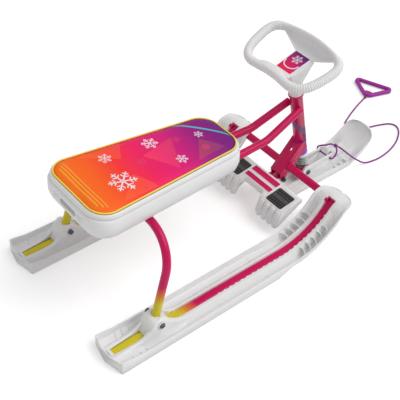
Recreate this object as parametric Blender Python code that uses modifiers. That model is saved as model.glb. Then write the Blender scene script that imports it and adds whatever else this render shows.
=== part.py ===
"""Steering sled: a child's snow sled with a steered front ski and a foot brake.

Units are metres. +X is the sled's right, +Y is forward and +Z is up. The
origin is on the ground, under the middle of the sled's length.
"""
import math

import bmesh
import bpy
from mathutils import Matrix, Vector

# Fits
GAP = 0.0003
BOLT_FIT = 0.0004
HOLE_SIDES = 16

# Rear skis
TRACK_HALF = 0.200
REAR_END = -0.547
REAR_FLAT = 0.572
REAR_CURVE = 0.2125
REAR_RISE = math.radians(55.0)
REAR_FOLD = 0.0205
REAR_LEVEL = math.radians(5.0)
REAR_LIP = 0.0275
REAR_HALF = 0.0575
REAR_FRONT_HALF = 0.0465
REAR_FRONT_RIM_HALF = 0.0555
REAR_RIM = 0.0270
REAR_TAIL_RIM = 0.0370
REAR_TIP_ROUND = 0.050
REAR_BOW = 0.004
SKI_WALL = 0.0035
SKI_LEAN = 0.0020
SKI_FLOOR = 0.0075
KEEL_HALF = 0.0050
KEEL_DEPTH = 0.0035
EDGE_KEEL = 0.0060
SPINE_HEIGHT = 0.0220
SPINE_RISE = 0.0285
SPINE_LIP = 0.0070
SPINE_FOOT = 0.0120
WELL_FLOOR = 0.0045
TRANSOM = 0.0040
RIB_COUNT = 5
RIB_FIRST = 0.6070
RIB_PITCH = 0.0245
RIB_WALL = 0.0026
RIB_RISE = 0.0185
RIB_SWEEP = 0.0100
RIB_BOW = 0.0080
SLOT_PAST_FOLD = 0.0100
TUBE_SHORT = 0.0020

# Leg humps on the rear skis
HUMP_BACK = -0.446
HUMP_TOP_BACK = -0.424
HUMP_TOP_FRONT = -0.394
HUMP_FRONT = -0.362
HUMP_HEIGHT = 0.066
HUMP_HALF = 0.0270

# Flat tubes that lie in the skis' wells, and the bar between them
FLAT_HALF = 0.0132
FLAT_DEPTH = 0.0147
FLAT_TAIL = 0.012
BAR_Y = 0.2045
BAR_Z = 0.1065
BAR_ANGLE = math.radians(45.0)
BAR_HALF_WIDTH = 0.0112
BAR_HALF_DEPTH = 0.0076

# Main tubes, one on each side
TUBE_R = 0.0108
TUBE_HEAD = (0.0225, 0.2150, 0.3058)
TUBE_KNEE = (0.0320, 0.0890, 0.2620)
TUBE_TURN = (0.0500, -0.3450, 0.2710)
TUBE_ELBOW = (0.1880, -0.3505, 0.2655)
TUBE_LEG_MID = (0.1987, -0.4060, 0.0540)
KNEE_BEND = 0.070
TURN_BEND = 0.044
ELBOW_BEND = 0.098
BEND_STEPS = 8

# Leg bolts
LEG_BOLT_R = 0.0040
LEG_BOLT_Z = 0.0515
LEG_BOLT_HEAD_R = 0.0072
LEG_BOLT_HEAD = 0.0050
LEG_NUT = 0.0060

# Steering axis and head tube, heights measured along the axis
STEER_TILT = math.radians(14.5)
STEER_Y = 0.2420
STEER_Z = 0.2300
HEAD_TOP = 0.1230
HEAD_BOTTOM = -0.1170
HEAD_R = 0.0180
HEAD_BORE_R = 0.0154
COLLAR_R = 0.0214
COLLAR_HEIGHT = 0.0110
SHAFT_R = 0.0100
SHAFT_TOP = 0.2150
BUSH_SPIGOT = 0.0200
UPPER_FLANGE = 0.0040
LOWER_CAP = 0.0130
LOWER_CAP_R = 0.0195
SUSPENSION_TRAVEL = 0.0100

# Suspension spring
SPRING_WIRE_R = 0.0018
SPRING_R = 0.0140
SPRING_TURNS = 4.0
SPRING_STEPS = 9
SPRING_TOP = HEAD_BOTTOM - LOWER_CAP - GAP
SPRING_LENGTH = 0.0400
SEAT_RING = 0.0030
SEAT_RING_R = 0.0160

# Front ski and its pivot
FRONT_TAIL = 0.1650
FRONT_FLAT = 0.2500
FRONT_CURVE = 0.1480
FRONT_RISE = math.radians(66.5)
FRONT_HALF = 0.0455
FRONT_RIM_HALF = 0.0480
FRONT_TIP_HALF = 0.0515
FRONT_RIM = 0.0250
FRONT_TIP_ROUND = 0.040
CHEEK_HEIGHT = 0.0610
CHEEK_LOW = 0.0240
CHEEK_INNER = 0.0165
CHEEK_WALL = 0.0060
CHEEK_FOOT = 0.0060
CHEEK_START = 0.0900
CHEEK_PEAK = 0.1150
CHEEK_FALL = 0.2280
CHEEK_END = 0.2650
PIVOT_DROP = -0.1930
PIVOT_BOLT_R = 0.0040
FORK_HALF = 0.0155
FORK_R = 0.0120
CORD_HOLE_Y = 0.3800
CORD_HOLE_Z = 0.0520
CORD_HOLE_R = 0.0040

# Steering wheel, in the steering axis' own frame
WHEEL_HALF = 0.1340
WHEEL_FRONT = 0.0940
WHEEL_SHOULDER = 0.0700
WHEEL_SHOULDER_HALF = 0.1120
WHEEL_REAR = -0.0860
WHEEL_REAR_HALF = 0.1080
WHEEL_WIDEST = 0.0100
WHEEL_RIM_HALF = 0.0117
WHEEL_RIM_DEPTH = 0.0105
WHEEL_HEIGHT = 0.2500
WHEEL_PLATE = 0.2330
WHEEL_PLATE_HALF = 0.0270
WHEEL_PLATE_REAR = -0.0350
WHEEL_PLATE_FRONT = 0.0350
WHEEL_WEB = 0.0045
WHEEL_NECK_R = 0.0190
WHEEL_NECK_FOOT_R = 0.0205
WHEEL_FLARE_R = 0.0320
WHEEL_FLARE = 0.0300
WHEEL_BOLT_AT = 0.0300
WHEEL_BOLT_R = 0.0025
WHEEL_NUT = 0.0040

# Seat: its plane drops towards the front
SEAT_REAR = -0.5000
SEAT_FRONT = -0.0410
SEAT_REAR_HALF = 0.1135
SEAT_FRONT_HALF = 0.0735
SEAT_REAR_ROUND = 0.045
SEAT_FRONT_ROUND = 0.050
SEAT_REAR_Z = 0.3733
SEAT_SLOPE = -0.0707
CUSHION_DEPTH = 0.0100
CUSHION_CROWN = 0.0040
TRAY_MARGIN = 0.0085
TRAY_TOP = -0.0030
TRAY_BOTTOM = -0.0155
TRAY_PLAY = 0.0010
SHELL_TOP = -0.0165
SHELL_BOTTOM = -0.0685
SHELL_MARGIN = 0.0130
SHELL_REAR_ROUND = 0.0380
SHELL_DRAW = 0.0045
SHELL_BELLY = 0.0180
SHELL_WALL = 0.0030
GRIP_SLOT_HALF = 0.0320
GRIP_SLOT_HEIGHT = 0.0160
SADDLE_WALL = 0.0140
SADDLE_HALF = 0.0640
SADDLE_FRONT_Y = -0.0900
SADDLE_REAR_Y = -0.2900
STRAP_WIDTH = 0.0260
STRAP_WALL = 0.0025
STRAP_HALF = 0.0640
SCREW_R = 0.0030
SCREW_X = 0.0110
SCREW_HEAD_R = 0.0060
SCREW_HEAD = 0.0035
SCREW_DEPTH = 0.0150

# Channel bracket between head tube, bar and brake hinge
CHANNEL_HALF = 0.0208
CHANNEL_WALL = 0.0022
CHANNEL_DEPTH = 0.0330
CHANNEL_TOP = (0.2500, 0.1730)
CHANNEL_ANGLE = math.radians(229.0)
CHANNEL_LENGTH = 0.1130
CHANNEL_HOLE_R = 0.0042
CHANNEL_HOLE_AT = 0.0360

# Foot brake, in the frame of its hinge
HINGE_Y = 0.1900
HINGE_Z = 0.0640
HINGE_PIN_R = 0.0040
HINGE_BARREL_R = 0.0075
BRAKE_TILT = math.radians(8.3)
BRAKE_HALF = 0.1300
BRAKE_TOP = 0.0300
BRAKE_WALL = 0.0040
BRAKE_FRONT = -0.0305
BRAKE_ARCH = -0.0900
BRAKE_ARCH_HALF = 0.0420
BRAKE_SKIRT = 0.0150
BRAKE_RIB = 0.0520
BRAKE_RIB_WALL = 0.0030
CLAW_REAR = -0.1080
CLAW_TIP = -0.1290
CLAW_DROP = -0.0180
CLAW_COUNT = 4
CLAW_SWELL = 0.0045
CLAW_DIP = 0.0050
PAD_INNER = 0.0590
PAD_OUTER = 0.1185
PAD_REAR = -0.1030
PAD_FRONT = -0.0470
PAD_ROUND = 0.0050
PAD_RISE = 0.0012
PAD_SUNK = 0.0015
SLOT_HALF = 0.0510
SLOT_FRONT = (-0.0555, -0.0390)
SLOT_REAR = (-0.0815, -0.0685)
STEEL_WALL = 0.0026
STEEL_HALF = 0.0505
TONGUE_HALF = 0.0160
BRAKE_SPRING_WIRE_R = 0.0009
BRAKE_SPRING_R = 0.0062
BRAKE_SPRING_TURNS = 4.0

# Tow cord and its handle
CORD_R = 0.0025
KNOT_R = 0.0065
HANDLE_R = 0.0065
HANDLE_WIDTH = 0.1500
HANDLE_HEIGHT = 0.0800
HANDLE_CORNER = (-0.1640, 0.7524)
HANDLE_HEADING = math.radians(23.0)


def clear_scene():
    """Remove what the startup file holds."""
    for item in list(bpy.data.objects):
        bpy.data.objects.remove(item, do_unlink=True)


def collection(name):
    """Make a collection and link it to the scene."""
    group = bpy.data.collections.new(name)
    bpy.context.scene.collection.children.link(group)
    return group


clear_scene()
PARTS = collection("steering_sled")
CUTTERS = collection("cutters")


def finish(name, colour, roughness, metallic=0.0):
    """Make a plain material with a Principled shader."""
    material = bpy.data.materials.new(name)
    material.use_nodes = True
    shader = material.node_tree.nodes["Principled BSDF"]
    shader.inputs["Base Color"].default_value = (*colour, 1.0)
    shader.inputs["Roughness"].default_value = roughness
    shader.inputs["Metallic"].default_value = metallic
    material.diffuse_color = (*colour, 1.0)
    return material


WHITE = finish("white_plastic", (0.80, 0.80, 0.80), 0.45)
PINK = finish("pink_paint", (0.52, 0.01, 0.08), 0.30)
STEEL = finish("zinc_steel", (0.45, 0.46, 0.46), 0.35, 1.0)
BLACK = finish("black_rubber", (0.015, 0.015, 0.015), 0.80)
PRINT = finish("printed_cover", (0.75, 0.10, 0.05), 0.55)
PURPLE = finish("purple_cord", (0.20, 0.02, 0.28), 0.60)


def add_mesh(name, build, material, group=None):
    """Turn a bmesh into an object in its collection."""
    bmesh.ops.recalc_face_normals(build, faces=build.faces)
    if build.calc_volume(signed=True) < 0:
        bmesh.ops.reverse_faces(build, faces=build.faces)
    mesh = bpy.data.meshes.new(name)
    build.to_mesh(mesh)
    build.free()
    item = bpy.data.objects.new(name, mesh)
    (group or PARTS).objects.link(item)
    if material:
        mesh.materials.append(material)
    mesh.shade_smooth()
    mesh.set_sharp_from_angle(angle=math.radians(35.0))
    return item


def as_cutter(item):
    """Keep a shape out of sight, for cutting only."""
    item.hide_render = True
    item.display_type = "WIRE"
    return item


def boolean(item, tool, operation):
    """Cut or join one object with another."""
    step = item.modifiers.new(operation.lower(), "BOOLEAN")
    step.operation = operation
    step.object = tool
    return step


def cut(item, tool):
    """Take one shape out of another."""
    boolean(item, as_cutter(tool), "DIFFERENCE")


def join(item, tool):
    """Make two shapes one body."""
    boolean(item, as_cutter(tool), "UNION")


def apply_all(item):
    """Bake an object's Booleans into its mesh and drop their shapes."""
    scene = bpy.context.evaluated_depsgraph_get()
    mesh = bpy.data.meshes.new_from_object(item.evaluated_get(scene))
    tools = [step.object for step in item.modifiers]
    item.modifiers.clear()
    item.data = mesh
    for tool in tools:
        bpy.data.objects.remove(tool, do_unlink=True)


def loft(name, rings, material, group=None, closed=False):
    """Skin a row of rings of 3-D points, with a cap on each end."""
    build = bmesh.new()
    rows = [[build.verts.new(point) for point in ring] for ring in rings]
    pairs = list(zip(rows, rows[1:]))
    if closed:
        pairs.append((rows[-1], rows[0]))
    count = len(rings[0])
    for near, far in pairs:
        for i in range(count):
            j = (i + 1) % count
            build.faces.new((near[i], near[j], far[j], far[i]))
    if not closed:
        build.faces.new(rows[0])
        build.faces.new(rows[-1])
    return add_mesh(name, build, material, group)


def prism(name, outline, low, high, material, group=None):
    """Extrude an outline of 3-D points from one offset to another."""
    rings = [[Vector(p) + Vector(low) for p in outline]]
    rings.append([Vector(p) + Vector(high) for p in outline])
    return loft(name, rings, material, group)


def box(name, low, high, material, group=None):
    """Make a box between two corners."""
    build = bmesh.new()
    bmesh.ops.create_cube(build, size=1.0)
    middle = (Vector(low) + Vector(high)) / 2
    size = Vector(high) - Vector(low)
    for vertex in build.verts:
        vertex.co = Vector(a * b for a, b in zip(vertex.co, size)) + middle
    return add_mesh(name, build, material, group)


def cylinder(name, start, end, radius, material, group=None, sides=24):
    """Make a cylinder between two points."""
    build = bmesh.new()
    run = Vector(end) - Vector(start)
    bmesh.ops.create_cone(
        build, cap_ends=True, segments=sides, radius1=radius, radius2=radius, depth=run.length
    )
    turn = Vector((0, 0, 1)).rotation_difference(run).to_matrix().to_4x4()
    place = Matrix.Translation((Vector(start) + Vector(end)) / 2) @ turn
    build.transform(place)
    return add_mesh(name, build, material, group)


def turned(name, profile, material, sides=24, group=None):
    """Spin a profile of radius and height pairs round the Z axis."""
    build = bmesh.new()
    closed = profile[0] == profile[-1]
    rows = profile[:-1] if closed else profile
    corners = [build.verts.new((radius, 0.0, height)) for radius, height in rows]
    for first, second in zip(corners, corners[1:]):
        build.edges.new((first, second))
    if closed:
        build.edges.new((corners[-1], corners[0]))
    mesh = bpy.data.meshes.new(name)
    build.to_mesh(mesh)
    build.free()
    mesh.materials.append(material)
    item = bpy.data.objects.new(name, mesh)
    (group or PARTS).objects.link(item)
    spin = item.modifiers.new("spin", "SCREW")
    spin.steps = sides
    spin.render_steps = sides
    spin.use_merge_vertices = True
    spin.merge_threshold = 0.00005
    spin.use_smooth_shade = False
    return item


def wire(name, points, radius, material, fineness=2, closed=False, group=None):
    """Make a round tube along points, as a curve with filled caps."""
    curve = bpy.data.curves.new(name, "CURVE")
    curve.dimensions = "3D"
    curve.bevel_depth = radius
    curve.bevel_resolution = fineness
    curve.use_fill_caps = not closed
    spline = curve.splines.new("POLY")
    spline.points.add(len(points) - 1)
    for knot, point in zip(spline.points, points):
        knot.co = (*point, 1.0)
    spline.use_cyclic_u = closed
    item = bpy.data.objects.new(name, curve)
    (group or PARTS).objects.link(item)
    curve.materials.append(material)
    return item


def solid_wire(name, points, radius, material, fineness=4, group=None):
    """Make a round tube as a mesh, so that it can be cut."""
    guide = wire(name + "_guide", points, radius, material, fineness)
    scene = bpy.context.evaluated_depsgraph_get()
    mesh = bpy.data.meshes.new_from_object(guide.evaluated_get(scene))
    place = guide.matrix_world.copy()
    bpy.data.objects.remove(guide, do_unlink=True)
    build = bmesh.new()
    build.from_mesh(mesh)
    bmesh.ops.remove_doubles(build, verts=build.verts, dist=0.00001)
    item = add_mesh(name, build, material, group)
    item.matrix_world = place
    return item


def filleted(corners, radii, steps, closed=False):
    """Round the corners of a run of points, each with its own arc."""
    corners = [Vector(corner) for corner in corners]
    points = []
    count = len(corners)
    for i, corner in enumerate(corners):
        at_end = not closed and i in (0, count - 1)
        if at_end or radii[i] == 0:
            points.append(corner)
            continue
        back = (corners[i - 1] - corner).normalized()
        ahead = (corners[(i + 1) % count] - corner).normalized()
        half = back.angle(ahead) / 2
        reach = radii[i] / math.tan(half)
        centre = corner + (back + ahead).normalized() * radii[i] / math.sin(half)
        start = corner + back * reach - centre
        end = corner + ahead * reach - centre
        axis = start.cross(end).normalized()
        for step in range(steps + 1):
            turn = Matrix.Rotation((math.pi - 2 * half) * step / steps, 3, axis)
            points.append(centre + turn @ start)
    return points


def smooth_route(knots, spacing):
    """Read evenly spaced points from a smooth curve through the knots."""
    knots = [Vector(knot) for knot in knots]
    padded = [2 * knots[0] - knots[1], *knots, 2 * knots[-1] - knots[-2]]
    points = [knots[0]]
    for i in range(1, len(padded) - 2):
        before, start, end, after = padded[i - 1:i + 3]
        pieces = max(1, round((end - start).length / spacing))
        for step in range(1, pieces + 1):
            t = step / pieces
            pull = (end - before) / 2
            push = (after - start) / 2
            points.append(
                start * (2 * t**3 - 3 * t**2 + 1) + pull * (t**3 - 2 * t**2 + t)
                + end * (3 * t**2 - 2 * t**3) + push * (t**3 - t**2)
            )
    return points


def between(value, stops):
    """Read a smooth value between stops of position and value."""
    if value <= stops[0][0]:
        return stops[0][1]
    for (a, low), (b, high) in zip(stops, stops[1:]):
        if value <= b:
            t = (value - a) / (b - a)
            return low + (high - low) * t * t * (3 - 2 * t)
    return stops[-1][1]


def sized(low, high, count):
    """Spread values evenly from one size to another."""
    return [low + (high - low) * i / (count - 1) for i in range(count)]


def side_name(name, side):
    """Name a piece for its side of the sled."""
    return f"{name}_{'right' if side > 0 else 'left'}"


# Steering frame

STEER = Matrix.Translation((0, STEER_Y, STEER_Z)) @ Matrix.Rotation(STEER_TILT, 4, "X")
AXIS_EMPTY = bpy.data.objects.new("steering_axis", None)
PARTS.objects.link(AXIS_EMPTY)
AXIS_EMPTY.matrix_world = STEER


def on_axis(item):
    """Hang an object built round Z on the steering axis."""
    item.parent = AXIS_EMPTY
    return item


def axis_point(height, x=0.0, y=0.0):
    """World position of a point given along the steering axis."""
    return STEER @ Vector((x, y, height))


def hang_at(item, pivot):
    """Give an object built in world coordinates an origin on its pivot."""
    item.data.transform(Matrix.Translation(-Vector(pivot)))
    item.location = pivot
    return item


# Seat

def seat_z(y, height):
    """World height of a point at a height above the seat's plane."""
    return SEAT_REAR_Z + SEAT_SLOPE * (y - SEAT_REAR) + height


def seat_outline(margin, height, rear_round=SEAT_REAR_ROUND, steps=5):
    """Seat outline grown by a margin, at a height above the seat's plane."""
    corners = [
        (SEAT_REAR_HALF + margin, SEAT_REAR - margin, 0),
        (SEAT_FRONT_HALF + margin, SEAT_FRONT + margin, 0),
        (-SEAT_FRONT_HALF - margin, SEAT_FRONT + margin, 0),
        (-SEAT_REAR_HALF - margin, SEAT_REAR - margin, 0),
    ]
    rear = rear_round + margin
    front = SEAT_FRONT_ROUND + margin
    outline = filleted(corners, (rear, front, front, rear), steps, closed=True)
    return [Vector((p.x, p.y, seat_z(p.y, height))) for p in outline]


def make_cushion():
    """Pad with a crowned top and drawn-in sides."""
    levels = [
        (-0.0040, -CUSHION_DEPTH),
        (-0.0010, -CUSHION_DEPTH * 0.6),
        (0.0, -0.0040),
        (-0.0016, -0.0012),
        (-0.0060, 0.0),
        (-0.0180, CUSHION_CROWN * 0.55),
        (-0.0400, CUSHION_CROWN),
    ]
    rings = [seat_outline(margin, height) for margin, height in levels]
    return loft("seat_cushion", rings, PRINT)


def make_tray():
    """Frame round the cushion, with a floor under it."""
    rings = [
        seat_outline(-0.0300, -CUSHION_DEPTH - GAP),
        seat_outline(TRAY_PLAY, -CUSHION_DEPTH - GAP),
        seat_outline(TRAY_PLAY, TRAY_TOP - 0.0015),
        seat_outline(TRAY_PLAY + 0.0015, TRAY_TOP),
        seat_outline(TRAY_MARGIN - 0.0035, TRAY_TOP),
        seat_outline(TRAY_MARGIN, TRAY_TOP - 0.0040),
        seat_outline(TRAY_MARGIN + 0.0010, TRAY_BOTTOM),
        seat_outline(TRAY_MARGIN - 0.0080, TRAY_BOTTOM),
    ]
    return loft("seat_tray", rings, WHITE)


def open_shell():
    """Seat shell as a thin skin, open underneath."""
    levels = [
        (SHELL_MARGIN - SHELL_DRAW, SHELL_BOTTOM),
        (SHELL_MARGIN, SHELL_BOTTOM + SHELL_BELLY),
        (SHELL_MARGIN - 0.0010, SHELL_TOP - 0.0080),
        (SHELL_MARGIN - 0.0045, SHELL_TOP - 0.0015),
        (SHELL_MARGIN - 0.0075, SHELL_TOP),
    ]
    build = bmesh.new()
    rows = []
    for margin, height in levels:
        outline = seat_outline(margin, height, SHELL_REAR_ROUND)
        rows.append([build.verts.new(p) for p in outline])
    count = len(rows[0])
    for low, high in zip(rows, rows[1:]):
        for i in range(count):
            j = (i + 1) % count
            build.faces.new((low[i], low[j], high[j], high[i]))
    build.faces.new(rows[-1])
    shell = add_mesh("seat_shell", build, WHITE)
    skin = shell.modifiers.new("wall", "SOLIDIFY")
    skin.thickness = SHELL_WALL
    skin.offset = -1.0
    skin.use_even_offset = True
    return shell


def saddle_bottom(y):
    """Height of the saddles' lower face, at the tubes' underside."""
    return tube_height(y) - TUBE_R


def tube_height(y):
    """Height of the main tubes' centre line under the seat."""
    low = Vector(TUBE_KNEE)
    high = Vector(TUBE_TURN)
    return low.z + (high.z - low.z) * (y - low.y) / (high.y - low.y)


def make_seat_shell():
    """Seat shell with cross walls that sit on the main tubes."""
    shell = open_shell()
    for y in (SADDLE_FRONT_Y, SADDLE_REAR_Y):
        low = (-SADDLE_HALF, y - SADDLE_WALL / 2, saddle_bottom(y))
        high = (SADDLE_HALF, y + SADDLE_WALL / 2, seat_z(y, SHELL_TOP - SHELL_WALL / 2))
        join(shell, box("saddle", low, high, None, CUTTERS))
    for side in (-1, 1):
        points = tube_route(side)
        cut(shell, solid_wire("tube_seat", points, TUBE_R + GAP, None, 4, CUTTERS))
        for y in (SADDLE_FRONT_Y, SADDLE_REAR_Y):
            edge = side * (TUBE_KNEE[0] + (TUBE_TURN[0] - TUBE_KNEE[0]) * (TUBE_KNEE[1] - y)
                           / (TUBE_KNEE[1] - TUBE_TURN[1]))
            reach = TUBE_R + GAP
            low = (edge - reach, y - SADDLE_WALL, saddle_bottom(y) - 0.002)
            high = (edge + reach, y + SADDLE_WALL, tube_height(y))
            cut(shell, box("tube_way", low, high, None, CUTTERS))
            floor = saddle_bottom(y)
            start = (side * SCREW_X, y, floor - 0.002)
            end = (side * SCREW_X, y, floor + SCREW_DEPTH)
            cut(shell, cylinder("screw_hole", start, end, SCREW_R + GAP, None, CUTTERS, 12))
    height = (SHELL_TOP + SHELL_BOTTOM) / 2
    rear = SEAT_REAR - SHELL_MARGIN
    centre = seat_z(rear, height)
    corners = [
        (x * GRIP_SLOT_HALF, rear, centre + z * GRIP_SLOT_HEIGHT / 2)
        for x, z in ((-1, -1), (1, -1), (1, 1), (-1, 1))
    ]
    outline = filleted(corners, [GRIP_SLOT_HEIGHT * 0.45] * 4, 4, closed=True)
    cut(shell, prism("grip_slot", outline, (0, -0.02, 0), (0, 0.02, 0), None, CUTTERS))
    return shell


def make_strap(name, y):
    """Flat strap that clamps both tubes against a saddle."""
    top = saddle_bottom(y) - GAP
    low = (-STRAP_HALF, y - STRAP_WIDTH / 2, top - STRAP_WALL)
    high = (STRAP_HALF, y + STRAP_WIDTH / 2, top)
    strap = box(name, low, high, PINK)
    for side in (-1, 1):
        start = (side * SCREW_X, y, top - 0.01)
        end = (side * SCREW_X, y, top + 0.01)
        cut(strap, cylinder("strap_hole", start, end, SCREW_R + GAP, None, CUTTERS, 12))
    return strap


def make_screw(name, x, y):
    """Screw from below, through a strap and into its saddle."""
    under = saddle_bottom(y) - GAP - STRAP_WALL - GAP
    profile = [
        (0.0, SCREW_HEAD + SCREW_DEPTH - 0.002),
        (SCREW_R, SCREW_HEAD + SCREW_DEPTH - 0.002),
        (SCREW_R, SCREW_HEAD),
        (SCREW_HEAD_R, SCREW_HEAD),
        (SCREW_HEAD_R, 0.0012),
        (SCREW_HEAD_R * 0.7, 0.0),
        (0.0, 0.0),
    ]
    screw = turned(name, profile, STEEL, 12)
    screw.location = (x, y, under - SCREW_HEAD)
    return screw


# Main tubes

def mirrored(point, side):
    """Put a point given for the right side on either side."""
    return Vector((point[0] * side, point[1], point[2]))


def leg_direction():
    """Unit vector down a right leg."""
    return (Vector(TUBE_LEG_MID) - Vector(TUBE_ELBOW)).normalized()


def leg_point(z):
    """Point of a right leg's centre line at a height."""
    run = leg_direction()
    return Vector(TUBE_ELBOW) + run * (z - TUBE_ELBOW[2]) / run.z


def leg_foot():
    """Lower end of a right leg, just above the flat tube."""
    tilt = math.acos(-leg_direction().z)
    return leg_point(WELL_FLOOR + GAP + FLAT_DEPTH + GAP + TUBE_R * math.sin(tilt) + 0.0002)


def tube_route(side):
    """Centre line of a main tube, from head tube to ski."""
    corners = [TUBE_HEAD, TUBE_KNEE, TUBE_TURN, TUBE_ELBOW, leg_foot()]
    corners = [mirrored(corner, side) for corner in corners]
    radii = (0, KNEE_BEND, TURN_BEND, ELBOW_BEND, 0)
    return filleted(corners, radii, BEND_STEPS)


def leg_bolt_axis(side):
    """Centre of a leg bolt, on the leg's centre line."""
    return mirrored(leg_point(LEG_BOLT_Z), side)


def make_main_tube(side):
    """Bent tube, mitred to the head tube and drilled for its leg bolt."""
    tube = solid_wire(side_name("main_tube", side), tube_route(side), TUBE_R, PINK)
    low = axis_point(HEAD_BOTTOM)
    high = axis_point(HEAD_TOP + 0.05)
    cut(tube, cylinder("head_mitre", low, high, HEAD_R + GAP, None, CUTTERS, 32))
    centre = leg_bolt_axis(side)
    reach = Vector((0.03, 0, 0))
    radius = LEG_BOLT_R + BOLT_FIT
    cut(tube, cylinder("leg_hole", centre - reach, centre + reach, radius, None, CUTTERS,
                       HOLE_SIDES))
    return tube


# Skis

class Sole:
    """Running line of a ski: level runs and arcs, one after another."""

    def __init__(self, start, runs):
        self.runs = []
        self.length = 0.0
        y, z, slope = start, 0.0, 0.0
        for length, turn in runs:
            self.runs.append((self.length, y, z, slope, turn / length))
            y, z, slope = self.step(y, z, slope, turn / length, length)
            self.length += length

    @staticmethod
    def step(y, z, slope, bend, length):
        """Point and slope at the end of a stretch of constant bend."""
        if bend == 0.0:
            return y + length * math.cos(slope), z + length * math.sin(slope), slope
        end = slope + bend * length
        y += (math.sin(end) - math.sin(slope)) / bend
        z -= (math.cos(end) - math.cos(slope)) / bend
        return y, z, end

    def place(self, along, across, up):
        """World point at a distance along, to the side and above."""
        begun = [run for run in self.runs if run[0] <= along]
        start, y, z, slope, bend = begun[-1]
        y, z, slope = self.step(y, z, slope, bend, along - start)
        return Vector((across, y - up * math.sin(slope), z + up * math.cos(slope)))


FOLD_START = REAR_FLAT + REAR_CURVE * REAR_RISE
FOLD_END = FOLD_START + REAR_FOLD * (REAR_RISE - REAR_LEVEL)
SLOT_END = FOLD_START + SLOT_PAST_FOLD
REAR_SOLE = Sole(REAR_END, [
    (REAR_FLAT, 0.0),
    (FOLD_START - REAR_FLAT, REAR_RISE),
    (FOLD_END - FOLD_START, REAR_LEVEL - REAR_RISE),
    (REAR_LIP, 0.0),
])
FRONT_SOLE = Sole(FRONT_TAIL, [(FRONT_FLAT, 0.0), (FRONT_CURVE * FRONT_RISE, FRONT_RISE)])


def ski_section(half, edge, rim, floor, foot, lip, height, well, bottom):
    """Section of a ski as across and up pairs, from the keel round."""
    inner = half + (edge - half) * (floor + 0.002) / rim - SKI_WALL - 0.0010
    right = [
        (KEEL_HALF, 0.0),
        (KEEL_HALF + 0.003, KEEL_DEPTH),
        (half - EDGE_KEEL - 0.003, KEEL_DEPTH),
        (half - EDGE_KEEL, 0.0),
        (half, 0.0),
        (edge, rim),
        (edge - SKI_WALL, rim),
        (inner, floor + 0.002),
        (inner - 0.002, floor),
        (foot, floor),
        (lip, height),
        (well, height - 0.0001),
        (well - 0.0002, bottom),
    ]
    left = [(-x, z) for x, z in reversed(right)]
    return [(0.0, 0.0), *right, (0.0, bottom), *left]


def tip_width(sole, along, length):
    """Share of the full width that is left near a rounded tip."""
    start = sole.length - length
    if along <= start:
        return 1.0
    t = min(0.985, (along - start) / length)
    return (1 - t**2.6) ** (1 / 2.6)


def rear_section(along):
    """Section of a rear ski at a distance from its tail."""
    sole = REAR_SOLE
    transom = along <= TRANSOM
    rim = between(along, [
        (0.0, REAR_TAIL_RIM), (0.07, REAR_RIM), (FOLD_START, REAR_RIM),
        (FOLD_END, 0.0215), (sole.length, 0.0160),
    ])
    floor = between(along, [
        (FOLD_START - 0.060, SKI_FLOOR), (FOLD_START, 0.0215),
        (FOLD_END, 0.0205), (sole.length, 0.0145),
    ])
    height = between(along, [
        (RIB_FIRST - 0.045, SPINE_HEIGHT), (RIB_FIRST + 0.020, SPINE_RISE),
        (FOLD_START, SPINE_RISE - 0.002), (SLOT_END, 0.0245),
        (FOLD_END + 0.006, 0.0210), (sole.length, 0.0148),
    ])
    half = between(along, [(REAR_FLAT - 0.060, REAR_HALF), (REAR_FLAT, REAR_FRONT_HALF)])
    edge = between(along, [
        (REAR_FLAT - 0.060, REAR_HALF - SKI_LEAN), (REAR_FLAT, REAR_FRONT_RIM_HALF)])
    well = FLAT_HALF + GAP
    bottom = WELL_FLOOR
    if along > SLOT_END:
        bottom = height - 0.0002
    if transom:
        floor = rim - 0.0012
        height = rim - 0.0006
        bottom = rim - 0.0008
    lip = well + SPINE_LIP
    foot = lip + SPINE_FOOT
    profile = ski_section(half, edge, rim, floor, foot, lip, height, well, bottom)
    share = tip_width(sole, along, REAR_TIP_ROUND)
    bow = REAR_BOW * between(along, [(0.0, 1.0), (0.05, 0.0)])
    points = []
    for across, up in profile:
        point = sole.place(along, across * share, up)
        point.y -= bow * (1 - (across / REAR_HALF) ** 2)
        points.append(point)
    return points


def rear_stations():
    """Distances from the tail at which a rear ski has a section."""
    stations = [0.0, TRANSOM, TRANSOM + 0.0006, 0.02, 0.05, 0.10]
    stations += [REAR_FLAT - 0.060, REAR_FLAT - 0.030]
    stations += sized(REAR_FLAT, FOLD_START, 9)
    stations += [FOLD_START + 0.005, SLOT_END, SLOT_END + 0.0006, FOLD_END]
    stations += sized(FOLD_END + 0.007, REAR_SOLE.length, 5)
    return stations


def hump_section(y, half, foot, height):
    """Section of a leg hump, from the floor up."""
    return [
        Vector((foot, y, SKI_FLOOR - 0.002)),
        Vector((half + 0.001, y, height * 0.62)),
        Vector((half - 0.003, y, height - 0.002)),
        Vector((half - 0.006, y, height)),
        Vector((-half + 0.006, y, height)),
        Vector((-half + 0.003, y, height - 0.002)),
        Vector((-half - 0.001, y, height * 0.62)),
        Vector((-foot, y, SKI_FLOOR - 0.002)),
    ]


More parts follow.
